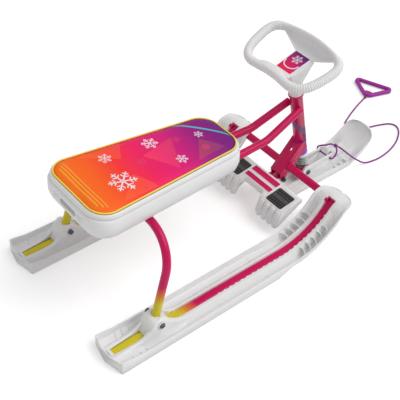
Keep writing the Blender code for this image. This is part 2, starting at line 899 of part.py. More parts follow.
def make_hump():
    """Raised block of a rear ski that takes the leg."""
    low = SPINE_HEIGHT - 0.001
    half = FLAT_HALF + SPINE_LIP
    rings = [
        hump_section(HUMP_BACK, half, half + 0.008, low),
        hump_section((HUMP_BACK + HUMP_TOP_BACK) / 2, HUMP_HALF - 0.002, 0.035, 0.048),
        hump_section(HUMP_TOP_BACK, HUMP_HALF, 0.038, HUMP_HEIGHT - 0.004),
        hump_section((HUMP_TOP_BACK + HUMP_TOP_FRONT) / 2, HUMP_HALF, 0.039, HUMP_HEIGHT),
        hump_section(HUMP_TOP_FRONT, HUMP_HALF, 0.038, HUMP_HEIGHT - 0.004),
        hump_section((HUMP_FRONT + HUMP_TOP_FRONT) / 2, HUMP_HALF - 0.003, 0.035, 0.042),
        hump_section(HUMP_FRONT, half, half + 0.008, low),
    ]
    return loft("hump", rings, None, CUTTERS)


def make_scoop(along, side):
    """Cross wall in a ski's channel, bowed like a scoop."""
    inner = FLAT_HALF + SPINE_LIP + 0.001
    foot_span = REAR_FRONT_HALF - SKI_WALL + 0.0010 - inner
    top_span = REAR_FRONT_RIM_HALF - SKI_WALL + 0.0010 - inner
    rings = []
    for t in sized(0.0, 1.0, 5):
        base = along + RIB_BOW * math.sin(math.pi * t) + RIB_SWEEP * (1 - t)
        foot = side * (inner + foot_span * t)
        top = side * (inner + top_span * t)
        rings.append([
            REAR_SOLE.place(base, foot, SKI_FLOOR - 0.002),
            REAR_SOLE.place(base + RIB_WALL, foot, SKI_FLOOR - 0.002),
            REAR_SOLE.place(base + RIB_WALL, top, SKI_FLOOR + RIB_RISE),
            REAR_SOLE.place(base, top, SKI_FLOOR + RIB_RISE),
        ])
    return loft("scoop", rings, None, CUTTERS)


def flat_oval(half_width, half_depth, steps=4):
    """Outline of a flat-sided tube with round ends."""
    points = []
    straight = half_width - half_depth
    for end in (1, -1):
        for step in range(steps + 1):
            angle = math.pi * (step / steps - 0.5) + (0 if end > 0 else math.pi)
            points.append((end * straight + half_depth * math.cos(angle),
                           half_depth * math.sin(angle)))
    return points


def bar_outline(grow):
    """Cross bar's section, tilted, as offsets in Y and Z."""
    outline = []
    for wide, deep in flat_oval(BAR_HALF_WIDTH + grow, BAR_HALF_DEPTH + grow):
        y = -wide * math.cos(BAR_ANGLE) - deep * math.sin(BAR_ANGLE)
        z = -wide * math.sin(BAR_ANGLE) + deep * math.cos(BAR_ANGLE)
        outline.append((0.0, BAR_Y + y, BAR_Z + z))
    return outline


def bar_way_outline():
    """Notch for the cross bar under a ski's deck, open underneath."""
    half = BAR_HALF_WIDTH + GAP
    outline = []
    for wide, deep in flat_oval(half, BAR_HALF_DEPTH + GAP):
        if deep < 0:
            wide = math.copysign(half, wide)
            deep = -0.030
        y = -wide * math.cos(BAR_ANGLE) - deep * math.sin(BAR_ANGLE)
        z = -wide * math.sin(BAR_ANGLE) + deep * math.cos(BAR_ANGLE)
        point = (0.0, BAR_Y + y, BAR_Z + z)
        if point not in outline:
            outline.append(point)
    return outline


def bar_end():
    """Distance from the middle to the cross bar's ends."""
    return TRACK_HALF - FLAT_HALF - GAP


def make_cross_bar():
    """Bar that joins the two flat tubes and carries the bracket."""
    reach = bar_end()
    return prism("cross_bar", bar_outline(0.0), (-reach, 0, 0), (reach, 0, 0), PINK)


def flat_tube_points(along):
    """Section of the flat tube in a ski's well."""
    middle = WELL_FLOOR + GAP + FLAT_DEPTH / 2
    profile = flat_oval(FLAT_HALF, FLAT_DEPTH / 2 - 0.0002)
    return [REAR_SOLE.place(along, across, middle + up) for across, up in profile]


def make_ski_tube(side):
    """Flat tube that lies in a rear ski's well."""
    end = FOLD_START - TUBE_SHORT
    stations = [FLAT_TAIL, REAR_FLAT, *sized(REAR_FLAT + 0.022, end, 9)]
    tube = loft(side_name("ski_tube", side), [flat_tube_points(s) for s in stations], PINK)
    tube.location.x = side * TRACK_HALF
    return tube


def make_rear_ski(side):
    """Moulded rear ski: a tray with keels, a slotted spine and scoops."""
    name = side_name("rear_ski", side)
    ski = loft(name, [rear_section(s) for s in rear_stations()], WHITE)
    hump = make_hump()
    join(ski, hump)
    for i in range(RIB_COUNT):
        for flank in (-1, 1):
            join(ski, make_scoop(RIB_FIRST + RIB_PITCH * i, flank))
    well = FLAT_HALF + GAP
    low = (-well, HUMP_BACK - 0.02, WELL_FLOOR)
    high = (well, HUMP_FRONT + 0.02, WELL_FLOOR + FLAT_DEPTH + 3 * GAP)
    cut(ski, box("tube_way", low, high, None, CUTTERS))
    run = mirrored(leg_direction(), side)
    centre = leg_bolt_axis(side) - Vector((side * TRACK_HALF, 0, 0))
    foot = mirrored(leg_foot(), side) - Vector((side * TRACK_HALF, 0, 0)) + run * 0.006
    radius = TUBE_R + GAP
    cut(ski, cylinder("leg_socket", centre - run * 0.05, foot, radius, None, CUTTERS, 24))
    reach = Vector((0.045, 0, 0))
    radius = LEG_BOLT_R + BOLT_FIT
    cut(ski, cylinder("bolt_hole", centre - reach, centre + reach, radius, None, CUTTERS,
                      HOLE_SIDES))
    for flank in (-1, 1):
        face = HUMP_HALF + 0.0005
        start = centre + Vector((flank * face, 0, 0))
        end = centre + Vector((flank * (face + 0.02), 0, 0))
        cut(ski, cylinder("bolt_seat", start, end, 0.0092, None, CUTTERS, 24))
    apply_all(ski)
    inward = -side * (REAR_HALF + 0.01)
    ends = sorted((inward, side * (-FLAT_HALF - GAP + 0.001)))
    way = bar_way_outline()
    cut(ski, prism("bar_way", way, (ends[0], 0, 0), (ends[1], 0, 0), None, CUTTERS))
    ski.location.x = side * TRACK_HALF
    for tool in [step.object for step in ski.modifiers]:
        tool.location.x = side * TRACK_HALF
    return ski


def make_bolt(name, centre, head_side, shank, head_r, head, radius):
    """Bolt along X, its head on one side, as one turned solid."""
    half = shank / 2
    profile = [
        (0.0, half + head),
        (head_r * 0.85, half + head),
        (head_r, half + head - 0.001),
        (head_r, half),
        (radius, half),
        (radius, -half),
        (0.0, -half),
    ]
    bolt = turned(name, profile, STEEL, 16)
    bolt.rotation_euler = (0, head_side * math.pi / 2, 0)
    bolt.location = centre
    return bolt


def make_nut(name, centre, height, width, bore, direction=1):
    """Hexagon nut along X."""
    start = Vector(centre)
    end = start + Vector((direction * height, 0, 0))
    nut = cylinder(name, start, end, width / math.sqrt(3), STEEL, None, 6)
    reach = Vector((direction * 0.01, 0, 0))
    cut(nut, cylinder("nut_bore", start - reach, end + reach, bore, None, CUTTERS, HOLE_SIDES))
    apply_all(nut)
    return nut


def make_leg_fasteners(side):
    """Bolt and nut through a hump and its leg."""
    centre = leg_bolt_axis(side)
    middle = Vector((side * TRACK_HALF, centre.y, centre.z))
    grip = HUMP_HALF + 0.0005 + GAP
    shank = 2 * grip + LEG_NUT + 0.002
    shift = Vector((-side * (shank / 2 - grip), 0, 0))
    make_bolt(side_name("leg_bolt", side), middle + shift, side, shank, LEG_BOLT_HEAD_R,
              LEG_BOLT_HEAD, LEG_BOLT_R)
    nut_at = middle - Vector((side * grip, 0, 0))
    make_nut(side_name("leg_nut", side), nut_at, LEG_NUT, 0.013, LEG_BOLT_R + GAP, -side)


# Front ski

def front_section(along):
    """Section of the front ski at a distance from its tail."""
    sole = FRONT_SOLE
    cheek = [
        (CHEEK_START, CHEEK_LOW), (CHEEK_PEAK, CHEEK_HEIGHT), (CHEEK_FALL, CHEEK_HEIGHT),
        (CHEEK_END, 0.0300), (sole.length, 0.0085),
    ]
    height = between(along, cheek)
    rim = between(along, [
        (0.0, FRONT_RIM), (CHEEK_END + 0.03, FRONT_RIM), (sole.length, 0.0110)])
    edge = between(along, [
        (CHEEK_END - 0.06, FRONT_RIM_HALF), (CHEEK_END + 0.060, FRONT_TIP_HALF)])
    floor = between(along, [
        (CHEEK_END - 0.035, SKI_FLOOR), (CHEEK_END + 0.015, 0.0130),
        (sole.length, 0.0080),
    ])
    bottom = SKI_FLOOR
    open_well = CHEEK_START - 0.035 < along < CHEEK_END
    if not open_well:
        bottom = height - 0.0002
    if along <= TRANSOM:
        floor = rim - 0.0012
        height = rim - 0.0006
        bottom = rim - 0.0008
    lip = CHEEK_INNER + CHEEK_WALL
    foot = lip + between(along, [(0.0, 0.004), (CHEEK_START, 0.004), (CHEEK_PEAK, CHEEK_FOOT)])
    profile = ski_section(FRONT_HALF, edge, rim, floor, foot, lip, height, CHEEK_INNER, bottom)
    share = tip_width(sole, along, FRONT_TIP_ROUND)
    return [sole.place(along, across * share, up) for across, up in profile]


def front_stations():
    """Distances from the tail at which the front ski has a section."""
    well = CHEEK_START - 0.035
    stations = [0.0, TRANSOM, TRANSOM + 0.0006, 0.03, well, well + 0.0006, CHEEK_START]
    stations += sized(CHEEK_START + 0.008, CHEEK_PEAK, 3)
    stations += sized(CHEEK_FALL, CHEEK_END - 0.009, 4)
    stations += [CHEEK_END - 0.0006, CHEEK_END, CHEEK_END + 0.015]
    stations += sized(CHEEK_END + 0.035, FRONT_SOLE.length, 10)
    return stations


def pivot_point():
    """Pivot of the front ski, on the steering axis."""
    return axis_point(PIVOT_DROP)


def make_front_ski():
    """Moulded front ski with two cheeks that hold the pivot bolt."""
    ski = loft("front_ski", [front_section(s) for s in front_stations()], WHITE)
    centre = pivot_point()
    reach = Vector((0.06, 0, 0))
    radius = PIVOT_BOLT_R + BOLT_FIT
    cut(ski, cylinder("pivot_hole", centre - reach, centre + reach, radius, None, CUTTERS,
                      HOLE_SIDES))
    hole = Vector((0, CORD_HOLE_Y, CORD_HOLE_Z))
    cut(ski, cylinder("cord_hole", hole - reach, hole + reach, CORD_HOLE_R, None, CUTTERS,
                      HOLE_SIDES))
    for flank in (-1, 1):
        face = CHEEK_INNER + CHEEK_WALL + 0.0012
        start = centre + Vector((flank * face, 0, 0))
        end = centre + Vector((flank * (face + 0.03), 0, 0))
        cut(ski, cylinder("pivot_seat", start, end, 0.0095, None, CUTTERS, 24))
    apply_all(ski)
    return hang_at(ski, centre)


def make_pivot_fasteners():
    """Bolt and nut through the cheeks and the fork."""
    centre = pivot_point()
    grip = CHEEK_INNER + CHEEK_WALL + 0.0012 + GAP
    shank = 2 * grip + LEG_NUT + 0.002
    shift = Vector((-(shank / 2 - grip), 0, 0))
    make_bolt("pivot_bolt", centre + shift, 1, shank, 0.0070, 0.0050, PIVOT_BOLT_R)
    nut_at = centre - Vector((grip, 0, 0))
    make_nut("pivot_nut", nut_at, LEG_NUT, 0.013, PIVOT_BOLT_R + GAP, -1)


# Steering column

def make_head_tube():
    """Head tube with a wider collar on top, open right through."""
    profile = [
        (HEAD_BORE_R, HEAD_TOP),
        (COLLAR_R, HEAD_TOP),
        (COLLAR_R, HEAD_TOP - COLLAR_HEIGHT * 0.6),
        (HEAD_R, HEAD_TOP - COLLAR_HEIGHT),
        (HEAD_R, HEAD_BOTTOM),
        (HEAD_BORE_R, HEAD_BOTTOM),
        (HEAD_BORE_R, HEAD_TOP),
    ]
    return on_axis(turned("head_tube", profile, PINK, 32))


def make_bush(name, top, bottom, flange_top, flange_bottom, flange_r):
    """Plastic bush: a spigot in the head tube and a flange outside it."""
    outer = HEAD_BORE_R - GAP
    inner = SHAFT_R + GAP
    if flange_top > top:
        profile = [
            (inner, flange_top), (flange_r, flange_top), (flange_r, flange_bottom),
            (outer, flange_bottom), (outer, bottom), (inner, bottom), (inner, flange_top),
        ]
    else:
        profile = [
            (inner, top), (outer, top), (outer, flange_top), (flange_r, flange_top),
            (flange_r, flange_bottom + 0.003), (flange_r - 0.003, flange_bottom),
            (inner, flange_bottom), (inner, top),
        ]
    return on_axis(turned(name, profile, WHITE, 32))


def make_bushes():
    """Upper and lower bush of the steering shaft."""
    seat = HEAD_TOP + GAP
    make_bush("upper_bush", HEAD_TOP, HEAD_TOP - BUSH_SPIGOT, seat + UPPER_FLANGE, seat,
              COLLAR_R - 0.002)
    seat = HEAD_BOTTOM - GAP
    make_bush("lower_bush", HEAD_BOTTOM + BUSH_SPIGOT, HEAD_BOTTOM, seat,
              HEAD_BOTTOM - LOWER_CAP, LOWER_CAP_R)


def spring_bottom():
    """Height of the spring's lower end along the axis."""
    return SPRING_TOP - SPRING_LENGTH


def spring_points():
    """Centre line of the suspension spring, worked out turn by turn."""
    count = round(SPRING_TURNS * SPRING_STEPS)
    top = SPRING_TOP - SPRING_WIRE_R
    bottom = spring_bottom() + SPRING_WIRE_R
    points = []
    for i in range(count + 1):
        angle = 2 * math.pi * i / SPRING_STEPS
        height = bottom + (top - bottom) * i / count
        points.append(Vector((SPRING_R * math.cos(angle), SPRING_R * math.sin(angle), height)))
    return points


def least_turn_gap(points, radius, apart):
    """Smallest clear distance of a coil to itself."""
    best = 1.0
    for i, first in enumerate(points):
        for second in points[i + apart:]:
            best = min(best, (first - second).length)
    return best - 2 * radius


def make_spring():
    """Coil spring between the lower bush and its seat ring."""
    points = spring_points()
    gap = least_turn_gap(points, SPRING_WIRE_R, SPRING_STEPS - 2)
    print(f"suspension_spring least gap to itself: {gap * 1000:.2f} mm")
    return on_axis(wire("suspension_spring", points, SPRING_WIRE_R, STEEL, 1))


def make_spring_seat():
    """Ring under the spring that slides with the fork."""
    top = spring_bottom() - GAP
    inner = SHAFT_R + GAP
    profile = [
        (inner, top), (SEAT_RING_R, top), (SEAT_RING_R, top - SEAT_RING),
        (inner, top - SEAT_RING), (inner, top),
    ]
    return on_axis(turned("spring_seat", profile, STEEL, 24))


def fork_top():
    """Height of the fork's shoulder along the axis."""
    return spring_bottom() - GAP - SEAT_RING - GAP


def make_fork():
    """Eye under the shaft that the pivot bolt passes through."""
    shoulder = fork_top()
    start = Vector((-FORK_HALF, 0, PIVOT_DROP))
    end = Vector((FORK_HALF, 0, PIVOT_DROP))
    fork = cylinder("fork", start, end, FORK_R, PINK, None, 24)
    low = (-FORK_HALF, -FORK_R * 0.9, PIVOT_DROP)
    high = (FORK_HALF, FORK_R * 0.9, shoulder)
    join(fork, on_axis(box("fork_block", low, high, None, CUTTERS)))
    reach = Vector((0.03, 0, 0))
    hole = cylinder("fork_hole", start - reach, end + reach, PIVOT_BOLT_R + BOLT_FIT, None,
                    CUTTERS, HOLE_SIDES)
    cut(fork, on_axis(hole))
    return on_axis(fork)


def make_shaft():
    """Steering shaft from the fork to the wheel's hub."""
    start = (0, 0, fork_top() + GAP)
    shaft = cylinder("steering_shaft", start, (0, 0, SHAFT_TOP), SHAFT_R, STEEL, None, 24)
    cut(shaft, wheel_bolt_bore("shaft_hole"))
    return on_axis(shaft)


def wheel_foot():
    """Height of the wheel's neck's lower face along the axis."""
    return HEAD_TOP + GAP + UPPER_FLANGE + GAP


def wheel_bolt_bore(name):
    """Cross hole of the wheel's bolt."""
    centre = Vector((0, 0, wheel_foot() + WHEEL_BOLT_AT))
    reach = Vector((0.03, 0, 0))
    radius = WHEEL_BOLT_R + BOLT_FIT
    return on_axis(cylinder(name, centre - reach, centre + reach, radius, None, CUTTERS,
                            HOLE_SIDES))


def make_wheel_fasteners():
    """Bolt and nut through the wheel's neck and the shaft."""
    centre = Vector((0, 0, wheel_foot() + WHEEL_BOLT_AT))
    grip = WHEEL_NECK_FOOT_R + 0.0002
    shank = 2 * grip + WHEEL_NUT + 0.0015
    shift = Vector((-(shank / 2 - grip), 0, 0))
    on_axis(make_bolt("wheel_bolt", centre + shift, 1, shank, 0.0052, 0.0035, WHEEL_BOLT_R))
    nut_at = centre - Vector((grip, 0, 0))
    on_axis(make_nut("wheel_nut", nut_at, WHEEL_NUT, 0.0095, WHEEL_BOLT_R + GAP, -1))


# Steering wheel

def wheel_outline():
    """Middle line of the wheel's rim, in the wheel's plane."""
    inset = WHEEL_RIM_HALF
    corners = [
        (0.0, WHEEL_REAR + inset, 0),
        (WHEEL_REAR_HALF, WHEEL_REAR + inset, 0),
        (WHEEL_HALF - inset, WHEEL_WIDEST, 0),
        (WHEEL_SHOULDER_HALF, WHEEL_SHOULDER - inset * 0.4, 0),
        (0.0, WHEEL_FRONT - inset, 0),
    ]
    left = [(-x, y, z) for x, y, z in reversed(corners[1:-1])]
    corners = corners + left
    radii = (0, 0.034, 0.060, 0.032, 0.200, 0.032, 0.060, 0.034)
    return filleted(corners, radii, 6, closed=True)


def rim_section(point, outward, swell):
    """Section of the rim round one point of its middle line."""
    ring = []
    for step in range(8):
        angle = 2 * math.pi * (step + 0.5) / 8
        wide = (WHEEL_RIM_HALF + swell) * 1.08 * math.cos(angle)
        deep = (WHEEL_RIM_DEPTH + swell) * 1.08 * math.sin(angle)
        ring.append(point + outward * wide + Vector((0, 0, deep)))
    return ring


def make_rim():
    """Rim of the steering wheel as one closed ring."""
    outline = wheel_outline()
    rings = []
    count = len(outline)
    for i, point in enumerate(outline):
        run = (outline[(i + 1) % count] - outline[i - 1]).normalized()
        outward = Vector((run.y, -run.x, 0))
        middle = Vector((point.x, point.y, WHEEL_HEIGHT + 0.045 * point.y))
        rings.append(rim_section(middle, outward, 0.0))
    return loft("steering_wheel", rings, WHITE, closed=True)


def web_section(y, half, top):
    """Section of the wheel's web across the sled."""
    low = top - WHEEL_WEB
    return [
        Vector((-half, y, low)), Vector((half, y, low)),
        Vector((half, y, top)), Vector((-half, y, top)),
    ]


def make_web():
    """Dished web between the rim's front, the hub and its rear bar."""
    rings = [
        web_section(WHEEL_REAR + WHEEL_RIM_HALF, 0.040, WHEEL_HEIGHT - 0.004),
        web_section(WHEEL_REAR + 0.026, 0.036, WHEEL_HEIGHT - 0.008),
        web_section(WHEEL_PLATE_REAR, WHEEL_PLATE_HALF + 0.001, WHEEL_PLATE),
        web_section(WHEEL_PLATE_FRONT, WHEEL_PLATE_HALF, WHEEL_PLATE + 0.0005),
        web_section(WHEEL_PLATE_FRONT + 0.008, 0.070, WHEEL_PLATE + 0.006),
        web_section(WHEEL_SHOULDER - 0.012, 0.102, WHEEL_HEIGHT + 0.002),
        web_section(WHEEL_FRONT - WHEEL_RIM_HALF - 0.002, 0.088, WHEEL_HEIGHT + 0.004),
    ]
    return loft("wheel_web", rings, None, CUTTERS)


def make_wheel():
    """Steering wheel: rim, dished web and a hub neck with a blind bore."""
    wheel = make_rim()
    join(wheel, on_axis(make_web()))
    foot = wheel_foot()
    build = bmesh.new()
    depth = WHEEL_PLATE - 0.002 - foot
    bmesh.ops.create_cone(
        build, cap_ends=True, segments=24, radius1=WHEEL_NECK_FOOT_R, radius2=WHEEL_NECK_R,
        depth=depth,
    )
    build.transform(Matrix.Translation((0, 0, foot + depth / 2)))
    join(wheel, on_axis(add_mesh("wheel_neck", build, None, CUTTERS)))
    build = bmesh.new()
    bmesh.ops.create_cone(
        build, cap_ends=True, segments=24, radius1=WHEEL_NECK_R - 0.001, radius2=WHEEL_FLARE_R,
        depth=WHEEL_FLARE,
    )
    middle = WHEEL_PLATE - WHEEL_WEB / 2 - WHEEL_FLARE / 2
    build.transform(Matrix.Translation((0, 0, middle)))
    join(wheel, on_axis(add_mesh("hub_flare", build, None, CUTTERS)))
    bore = cylinder("hub_bore", (0, 0, foot - 0.01), (0, 0, SHAFT_TOP + GAP), SHAFT_R + GAP, None,
                    CUTTERS, 24)
    cut(wheel, on_axis(bore))
    cut(wheel, wheel_bolt_bore("wheel_hole"))
    return on_axis(wheel)


# Channel bracket

def channel_axes():
    """Unit vectors down the channel and square to it, in the YZ plane."""
    down = Vector((0, math.cos(CHANNEL_ANGLE), math.sin(CHANNEL_ANGLE)))
    across = Vector((0, -down.z, down.y))
    return down, across


def channel_point(along, depth):
    """World point of the channel's side view."""
    down, across = channel_axes()
    return Vector((0, *CHANNEL_TOP)) + down * along + across * depth


def hinge_point():
    """Centre of the brake's hinge pin."""
    return Vector((0, HINGE_Y, HINGE_Z))


def channel_side(inset, top, ears):
    """Side view of the channel, drawn in by an inset behind its web."""
    hinge = hinge_point()
    ear = 0.0095
    points = [
        channel_point(-top, inset),
        channel_point(CHANNEL_LENGTH + top, inset),
    ]
    if ears:
        points += [
            hinge + Vector((0, -ear, 0.004)),
            hinge + Vector((0, -ear * 0.7, -ear * 0.7)),
            hinge + Vector((0, ear * 0.7, -ear * 0.7)),
            hinge + Vector((0, ear, 0.006)),
        ]
    points += [
        channel_point(CHANNEL_LENGTH - 0.020, CHANNEL_DEPTH + top),
        channel_point(-top + 0.004, CHANNEL_DEPTH + top),
    ]
    return points


def make_channel():
    """Folded channel that ties head tube, cross bar and brake hinge."""
    half = CHANNEL_HALF
    channel = prism("head_gusset", channel_side(0.0, 0.0, True), (-half, 0, 0), (half, 0, 0),
                    PINK)
    inner = half - CHANNEL_WALL
    hollow = [
        channel_point(-0.02, CHANNEL_WALL),
        channel_point(CHANNEL_LENGTH + 0.004, CHANNEL_WALL),
        channel_point(CHANNEL_LENGTH + 0.050, CHANNEL_WALL),
        channel_point(CHANNEL_LENGTH + 0.050, CHANNEL_DEPTH + 0.030),
        channel_point(-0.02, CHANNEL_DEPTH + 0.030),
    ]
    cut(channel, prism("channel_hollow", hollow, (-inner, 0, 0), (inner, 0, 0), None, CUTTERS))
    low = axis_point(HEAD_BOTTOM - 0.05)
    high = axis_point(HEAD_TOP)
    cut(channel, cylinder("head_seat", low, high, HEAD_R + GAP, None, CUTTERS, 32))
    cut(channel, prism("bar_way", bar_outline(GAP), (-0.03, 0, 0), (0.03, 0, 0), None, CUTTERS))
    start = channel_point(CHANNEL_HOLE_AT, -0.01)
    end = channel_point(CHANNEL_HOLE_AT, 0.01)
    cut(channel, cylinder("web_hole", start, end, CHANNEL_HOLE_R, None, CUTTERS, HOLE_SIDES))
    hinge = hinge_point()
    reach = Vector((0.03, 0, 0))
    radius = HINGE_PIN_R + BOLT_FIT
    cut(channel, cylinder("hinge_hole", hinge - reach, hinge + reach, radius, None, CUTTERS,
                          HOLE_SIDES))
    return channel


# Foot brake

BRAKE = Matrix.Translation(hinge_point()) @ Matrix.Rotation(BRAKE_TILT, 4, "X")
BRAKE_EMPTY = bpy.data.objects.new("brake_axis", None)
PARTS.objects.link(BRAKE_EMPTY)
BRAKE_EMPTY.matrix_world = BRAKE


def on_brake(item):
    """Hang an object on the brake's hinge."""
    item.parent = BRAKE_EMPTY
    return item


def brake_section(x, rear, tip, drop, filled):
    """Closed section of the brake moulding at a distance across."""
    top = BRAKE_TOP
    wall = BRAKE_WALL
    front = BRAKE_FRONT
    deep = (top - drop) / (BRAKE_TOP - CLAW_DROP)
    bend = Vector((0, rear + (tip - rear) * 0.55, drop + (top - drop) * 0.55))
    outer = [
        Vector((0, front, top - BRAKE_SKIRT)),
        Vector((0, front, top - 0.0025)),
        Vector((0, front - 0.0025, top)),
        Vector((0, rear + 0.0028, top)),
        Vector((0, rear + 0.0004, top - 0.0026)),
        bend,
        Vector((0, tip, drop + 0.0110 * deep)),
        Vector((0, tip + 0.0010, drop)),
    ]
    inner = [
        Vector((0, tip + 0.0060, drop)),
        Vector((0, tip + wall + 0.0015, drop + 0.0110 * deep)),
        bend + Vector((0, wall, -0.0010)),
        Vector((0, rear + wall + 0.0006 + 0.0024 * deep, top - wall - 0.0050 * deep)),
        Vector((0, rear + wall + 0.0014 + 0.0050 * deep, top - wall)),
        Vector((0, front - wall - 0.0010, top - wall)),
        Vector((0, front - wall, top - BRAKE_SKIRT)),
    ]
    if filled:
        start = inner[0]
        end = inner[-1]
        count = len(inner) - 1
        inner = [start.lerp(end, i / count) for i in range(count + 1)]
    return [Vector((x, p.y, p.z)) for p in outer + inner]


def claw_station(x):
    """Section of the brake in a claw block, fluted finger by finger."""
    pitch = (BRAKE_HALF - BRAKE_ARCH_HALF - 0.002) / CLAW_COUNT
    share = (abs(x) - BRAKE_ARCH_HALF - 0.002) / pitch
    swell = abs(math.sin(math.pi * share)) ** 0.7
    rear = CLAW_REAR - CLAW_SWELL * 0.3 * swell
    tip = CLAW_TIP - CLAW_SWELL * swell
    drop = CLAW_DROP - CLAW_DIP * swell
    in_rib = BRAKE_RIB - 0.0001 < abs(x) < BRAKE_RIB + BRAKE_RIB_WALL + 0.0001
    solid = abs(x) > BRAKE_HALF - 0.005 or in_rib
    return brake_section(x, rear, tip, drop, solid)


def arch_station(x):
    """Section of the brake over its arch."""
    t = min(1.0, max(0.0, (abs(x) - 0.030) / (BRAKE_ARCH_HALF - 0.030)))
    rear = BRAKE_ARCH + (CLAW_REAR - BRAKE_ARCH) * t**3
    drop = BRAKE_TOP - BRAKE_SKIRT
    return brake_section(x, rear, rear - 0.004, drop, False)


def make_brake_plate():
    """Moulded pedal with two blocks of claws and an arch between them."""
    start = BRAKE_ARCH_HALF + 0.002
    pitch = (BRAKE_HALF - start) / CLAW_COUNT
    claws = []
    for finger in range(CLAW_COUNT):
        claws += [start + pitch * (finger + part) for part in (0.0, 0.22, 0.5, 0.78)]
    claws += [BRAKE_HALF - 0.0048, BRAKE_HALF]
    rib_end = BRAKE_RIB + BRAKE_RIB_WALL
    claws += [BRAKE_RIB - 0.0006, BRAKE_RIB, rib_end, rib_end + 0.0006]
    claws.sort()
    arch = [0.0, 0.030, 0.036, BRAKE_ARCH_HALF]
    right = [arch_station(x) for x in arch] + [claw_station(x) for x in claws]
    left = [arch_station(-x) for x in arch[1:]] + [claw_station(-x) for x in claws]
    plate = loft("brake_plate", list(reversed(left)) + right, WHITE)
    for rear, front in (SLOT_FRONT, SLOT_REAR):
        corners = [
            (-SLOT_HALF, rear, BRAKE_TOP), (SLOT_HALF, rear, BRAKE_TOP),
            (SLOT_HALF, front, BRAKE_TOP), (-SLOT_HALF, front, BRAKE_TOP),
        ]
        outline = filleted(corners, [0.003] * 4, 3, closed=True)
        tool = prism("brake_slot", outline, (0, 0, -0.006), (0, 0, 0.01), None, CUTTERS)
        cut(plate, on_brake(tool))
    for side in (-1, 1):
        outline = pad_outline(side, GAP)
        tool = prism("pad_seat", outline, (0, 0, -PAD_SUNK - GAP), (0, 0, 0.01), None, CUTTERS)
        cut(plate, on_brake(tool))
    half = TONGUE_HALF + 2 * GAP
    low = (-half, BRAKE_FRONT - BRAKE_WALL - 0.002, BRAKE_TOP - BRAKE_SKIRT - 0.001)
    high = (half, BRAKE_FRONT + 0.002, BRAKE_TOP - BRAKE_WALL)
    cut(plate, on_brake(box("tongue_way", low, high, None, CUTTERS)))
    return on_brake(plate)


def pad_outline(side, grow):
    """Outline of a foot pad on the brake's top."""
    corners = [
        (side * (PAD_INNER - grow), PAD_REAR - grow, BRAKE_TOP),
        (side * (PAD_OUTER + grow), PAD_REAR - grow, BRAKE_TOP),
        (side * (PAD_OUTER + grow), PAD_FRONT + grow, BRAKE_TOP),
        (side * (PAD_INNER - grow), PAD_FRONT + grow, BRAKE_TOP),
    ]
    return filleted(corners, [PAD_ROUND] * 4, 3, closed=True)


def make_pad(side):
    """Rubber foot pad with a plain band between ribbed fields."""
    outline = pad_outline(side, 0.0)
    name = side_name("brake_pad", side)
    pad = prism(name, outline, (0, 0, -PAD_SUNK), (0, 0, PAD_RISE), BLACK)
    return on_brake(pad)


def make_brake_frame():
    """Steel plate under the pedal, with a tongue and hinge barrel."""
    top = BRAKE_TOP - BRAKE_WALL - GAP
    low = (-STEEL_HALF, SLOT_REAR[0] - 0.0008, top - STEEL_WALL)
    high = (STEEL_HALF, BRAKE_FRONT - BRAKE_WALL - 0.0015, top)
    frame = box("brake_frame", low, high, PINK)
    knee = high[1] - 0.004
    side = [
        (0, knee - 0.008, top), (0, knee, top), (0, 0.002, 0.006), (0, -0.002, 0.003),
        (0, knee - 0.003, top - STEEL_WALL), (0, knee - 0.008, top - STEEL_WALL),
    ]
    half = TONGUE_HALF
    join(frame, on_brake(prism("tongue", side, (-half, 0, 0), (half, 0, 0), None, CUTTERS)))
    barrel = cylinder("barrel", (-half, 0, 0), (half * 0.1, 0, 0), HINGE_BARREL_R, None, CUTTERS,
                      20)
    join(frame, on_brake(barrel))
    room = box("spring_room", (half * 0.1, -0.0095, -0.01), (half + 0.001, 0.0095, 0.0095),
               None, CUTTERS)
    cut(frame, on_brake(room))
    bore = cylinder("barrel_bore", (-0.03, 0, 0), (0.03, 0, 0), HINGE_PIN_R + BOLT_FIT, None,
                    CUTTERS, HOLE_SIDES)
    cut(frame, on_brake(bore))
    return on_brake(frame)


def make_hinge_pin():
    """Bolt of the brake's hinge with its nut's end showing."""
    grip = CHANNEL_HALF + GAP
    shank = 2 * grip + 0.009
    centre = hinge_point() + Vector((shank / 2 - grip, 0, 0))
    make_bolt("hinge_bolt", centre, -1, shank, 0.0068, 0.0045, HINGE_PIN_R)
    nut_at = hinge_point() + Vector((grip, 0, 0))
    make_nut("hinge_nut", nut_at, 0.0055, 0.013, HINGE_PIN_R + GAP, 1)


def make_brake_spring():
    """Torsion spring on the hinge bolt, beside the barrel."""
    start = TONGUE_HALF * 0.1 + 0.0016
    end = TONGUE_HALF + 0.0008
    count = round(BRAKE_SPRING_TURNS * SPRING_STEPS)
    points = []
    for i in range(count + 1):
        angle = 2 * math.pi * i / SPRING_STEPS
        x = start + (end - start) * i / count
        points.append(Vector((x, BRAKE_SPRING_R * math.cos(angle),
                              BRAKE_SPRING_R * math.sin(angle))))
    spring = wire("brake_spring", points, BRAKE_SPRING_WIRE_R, STEEL, 1)
    gap = least_turn_gap(points, BRAKE_SPRING_WIRE_R, SPRING_STEPS - 2)
    print(f"brake_spring least gap to itself: {gap * 1000:.2f} mm")
    return on_brake(spring)


# Tow cord

def knot_centre():
    """Middle of the knot that closes the cord's loop."""
    return Vector((0.0050, 0.4210, 0.0675))


def end_knot_centre():
    """Middle of the knot at the handle."""
    apex = handle_outline()[3]
    reach = HANDLE_R + GAP + KNOT_R
    return handle_frame() @ (apex - Vector((0, reach, 0)))


def knot_exit(centre, toward, extra=0.0):
    """Point just off a knot's surface, where a cord starts."""
    run = (Vector(toward) - centre).normalized()
    return centre + run * (KNOT_R + GAP + extra)


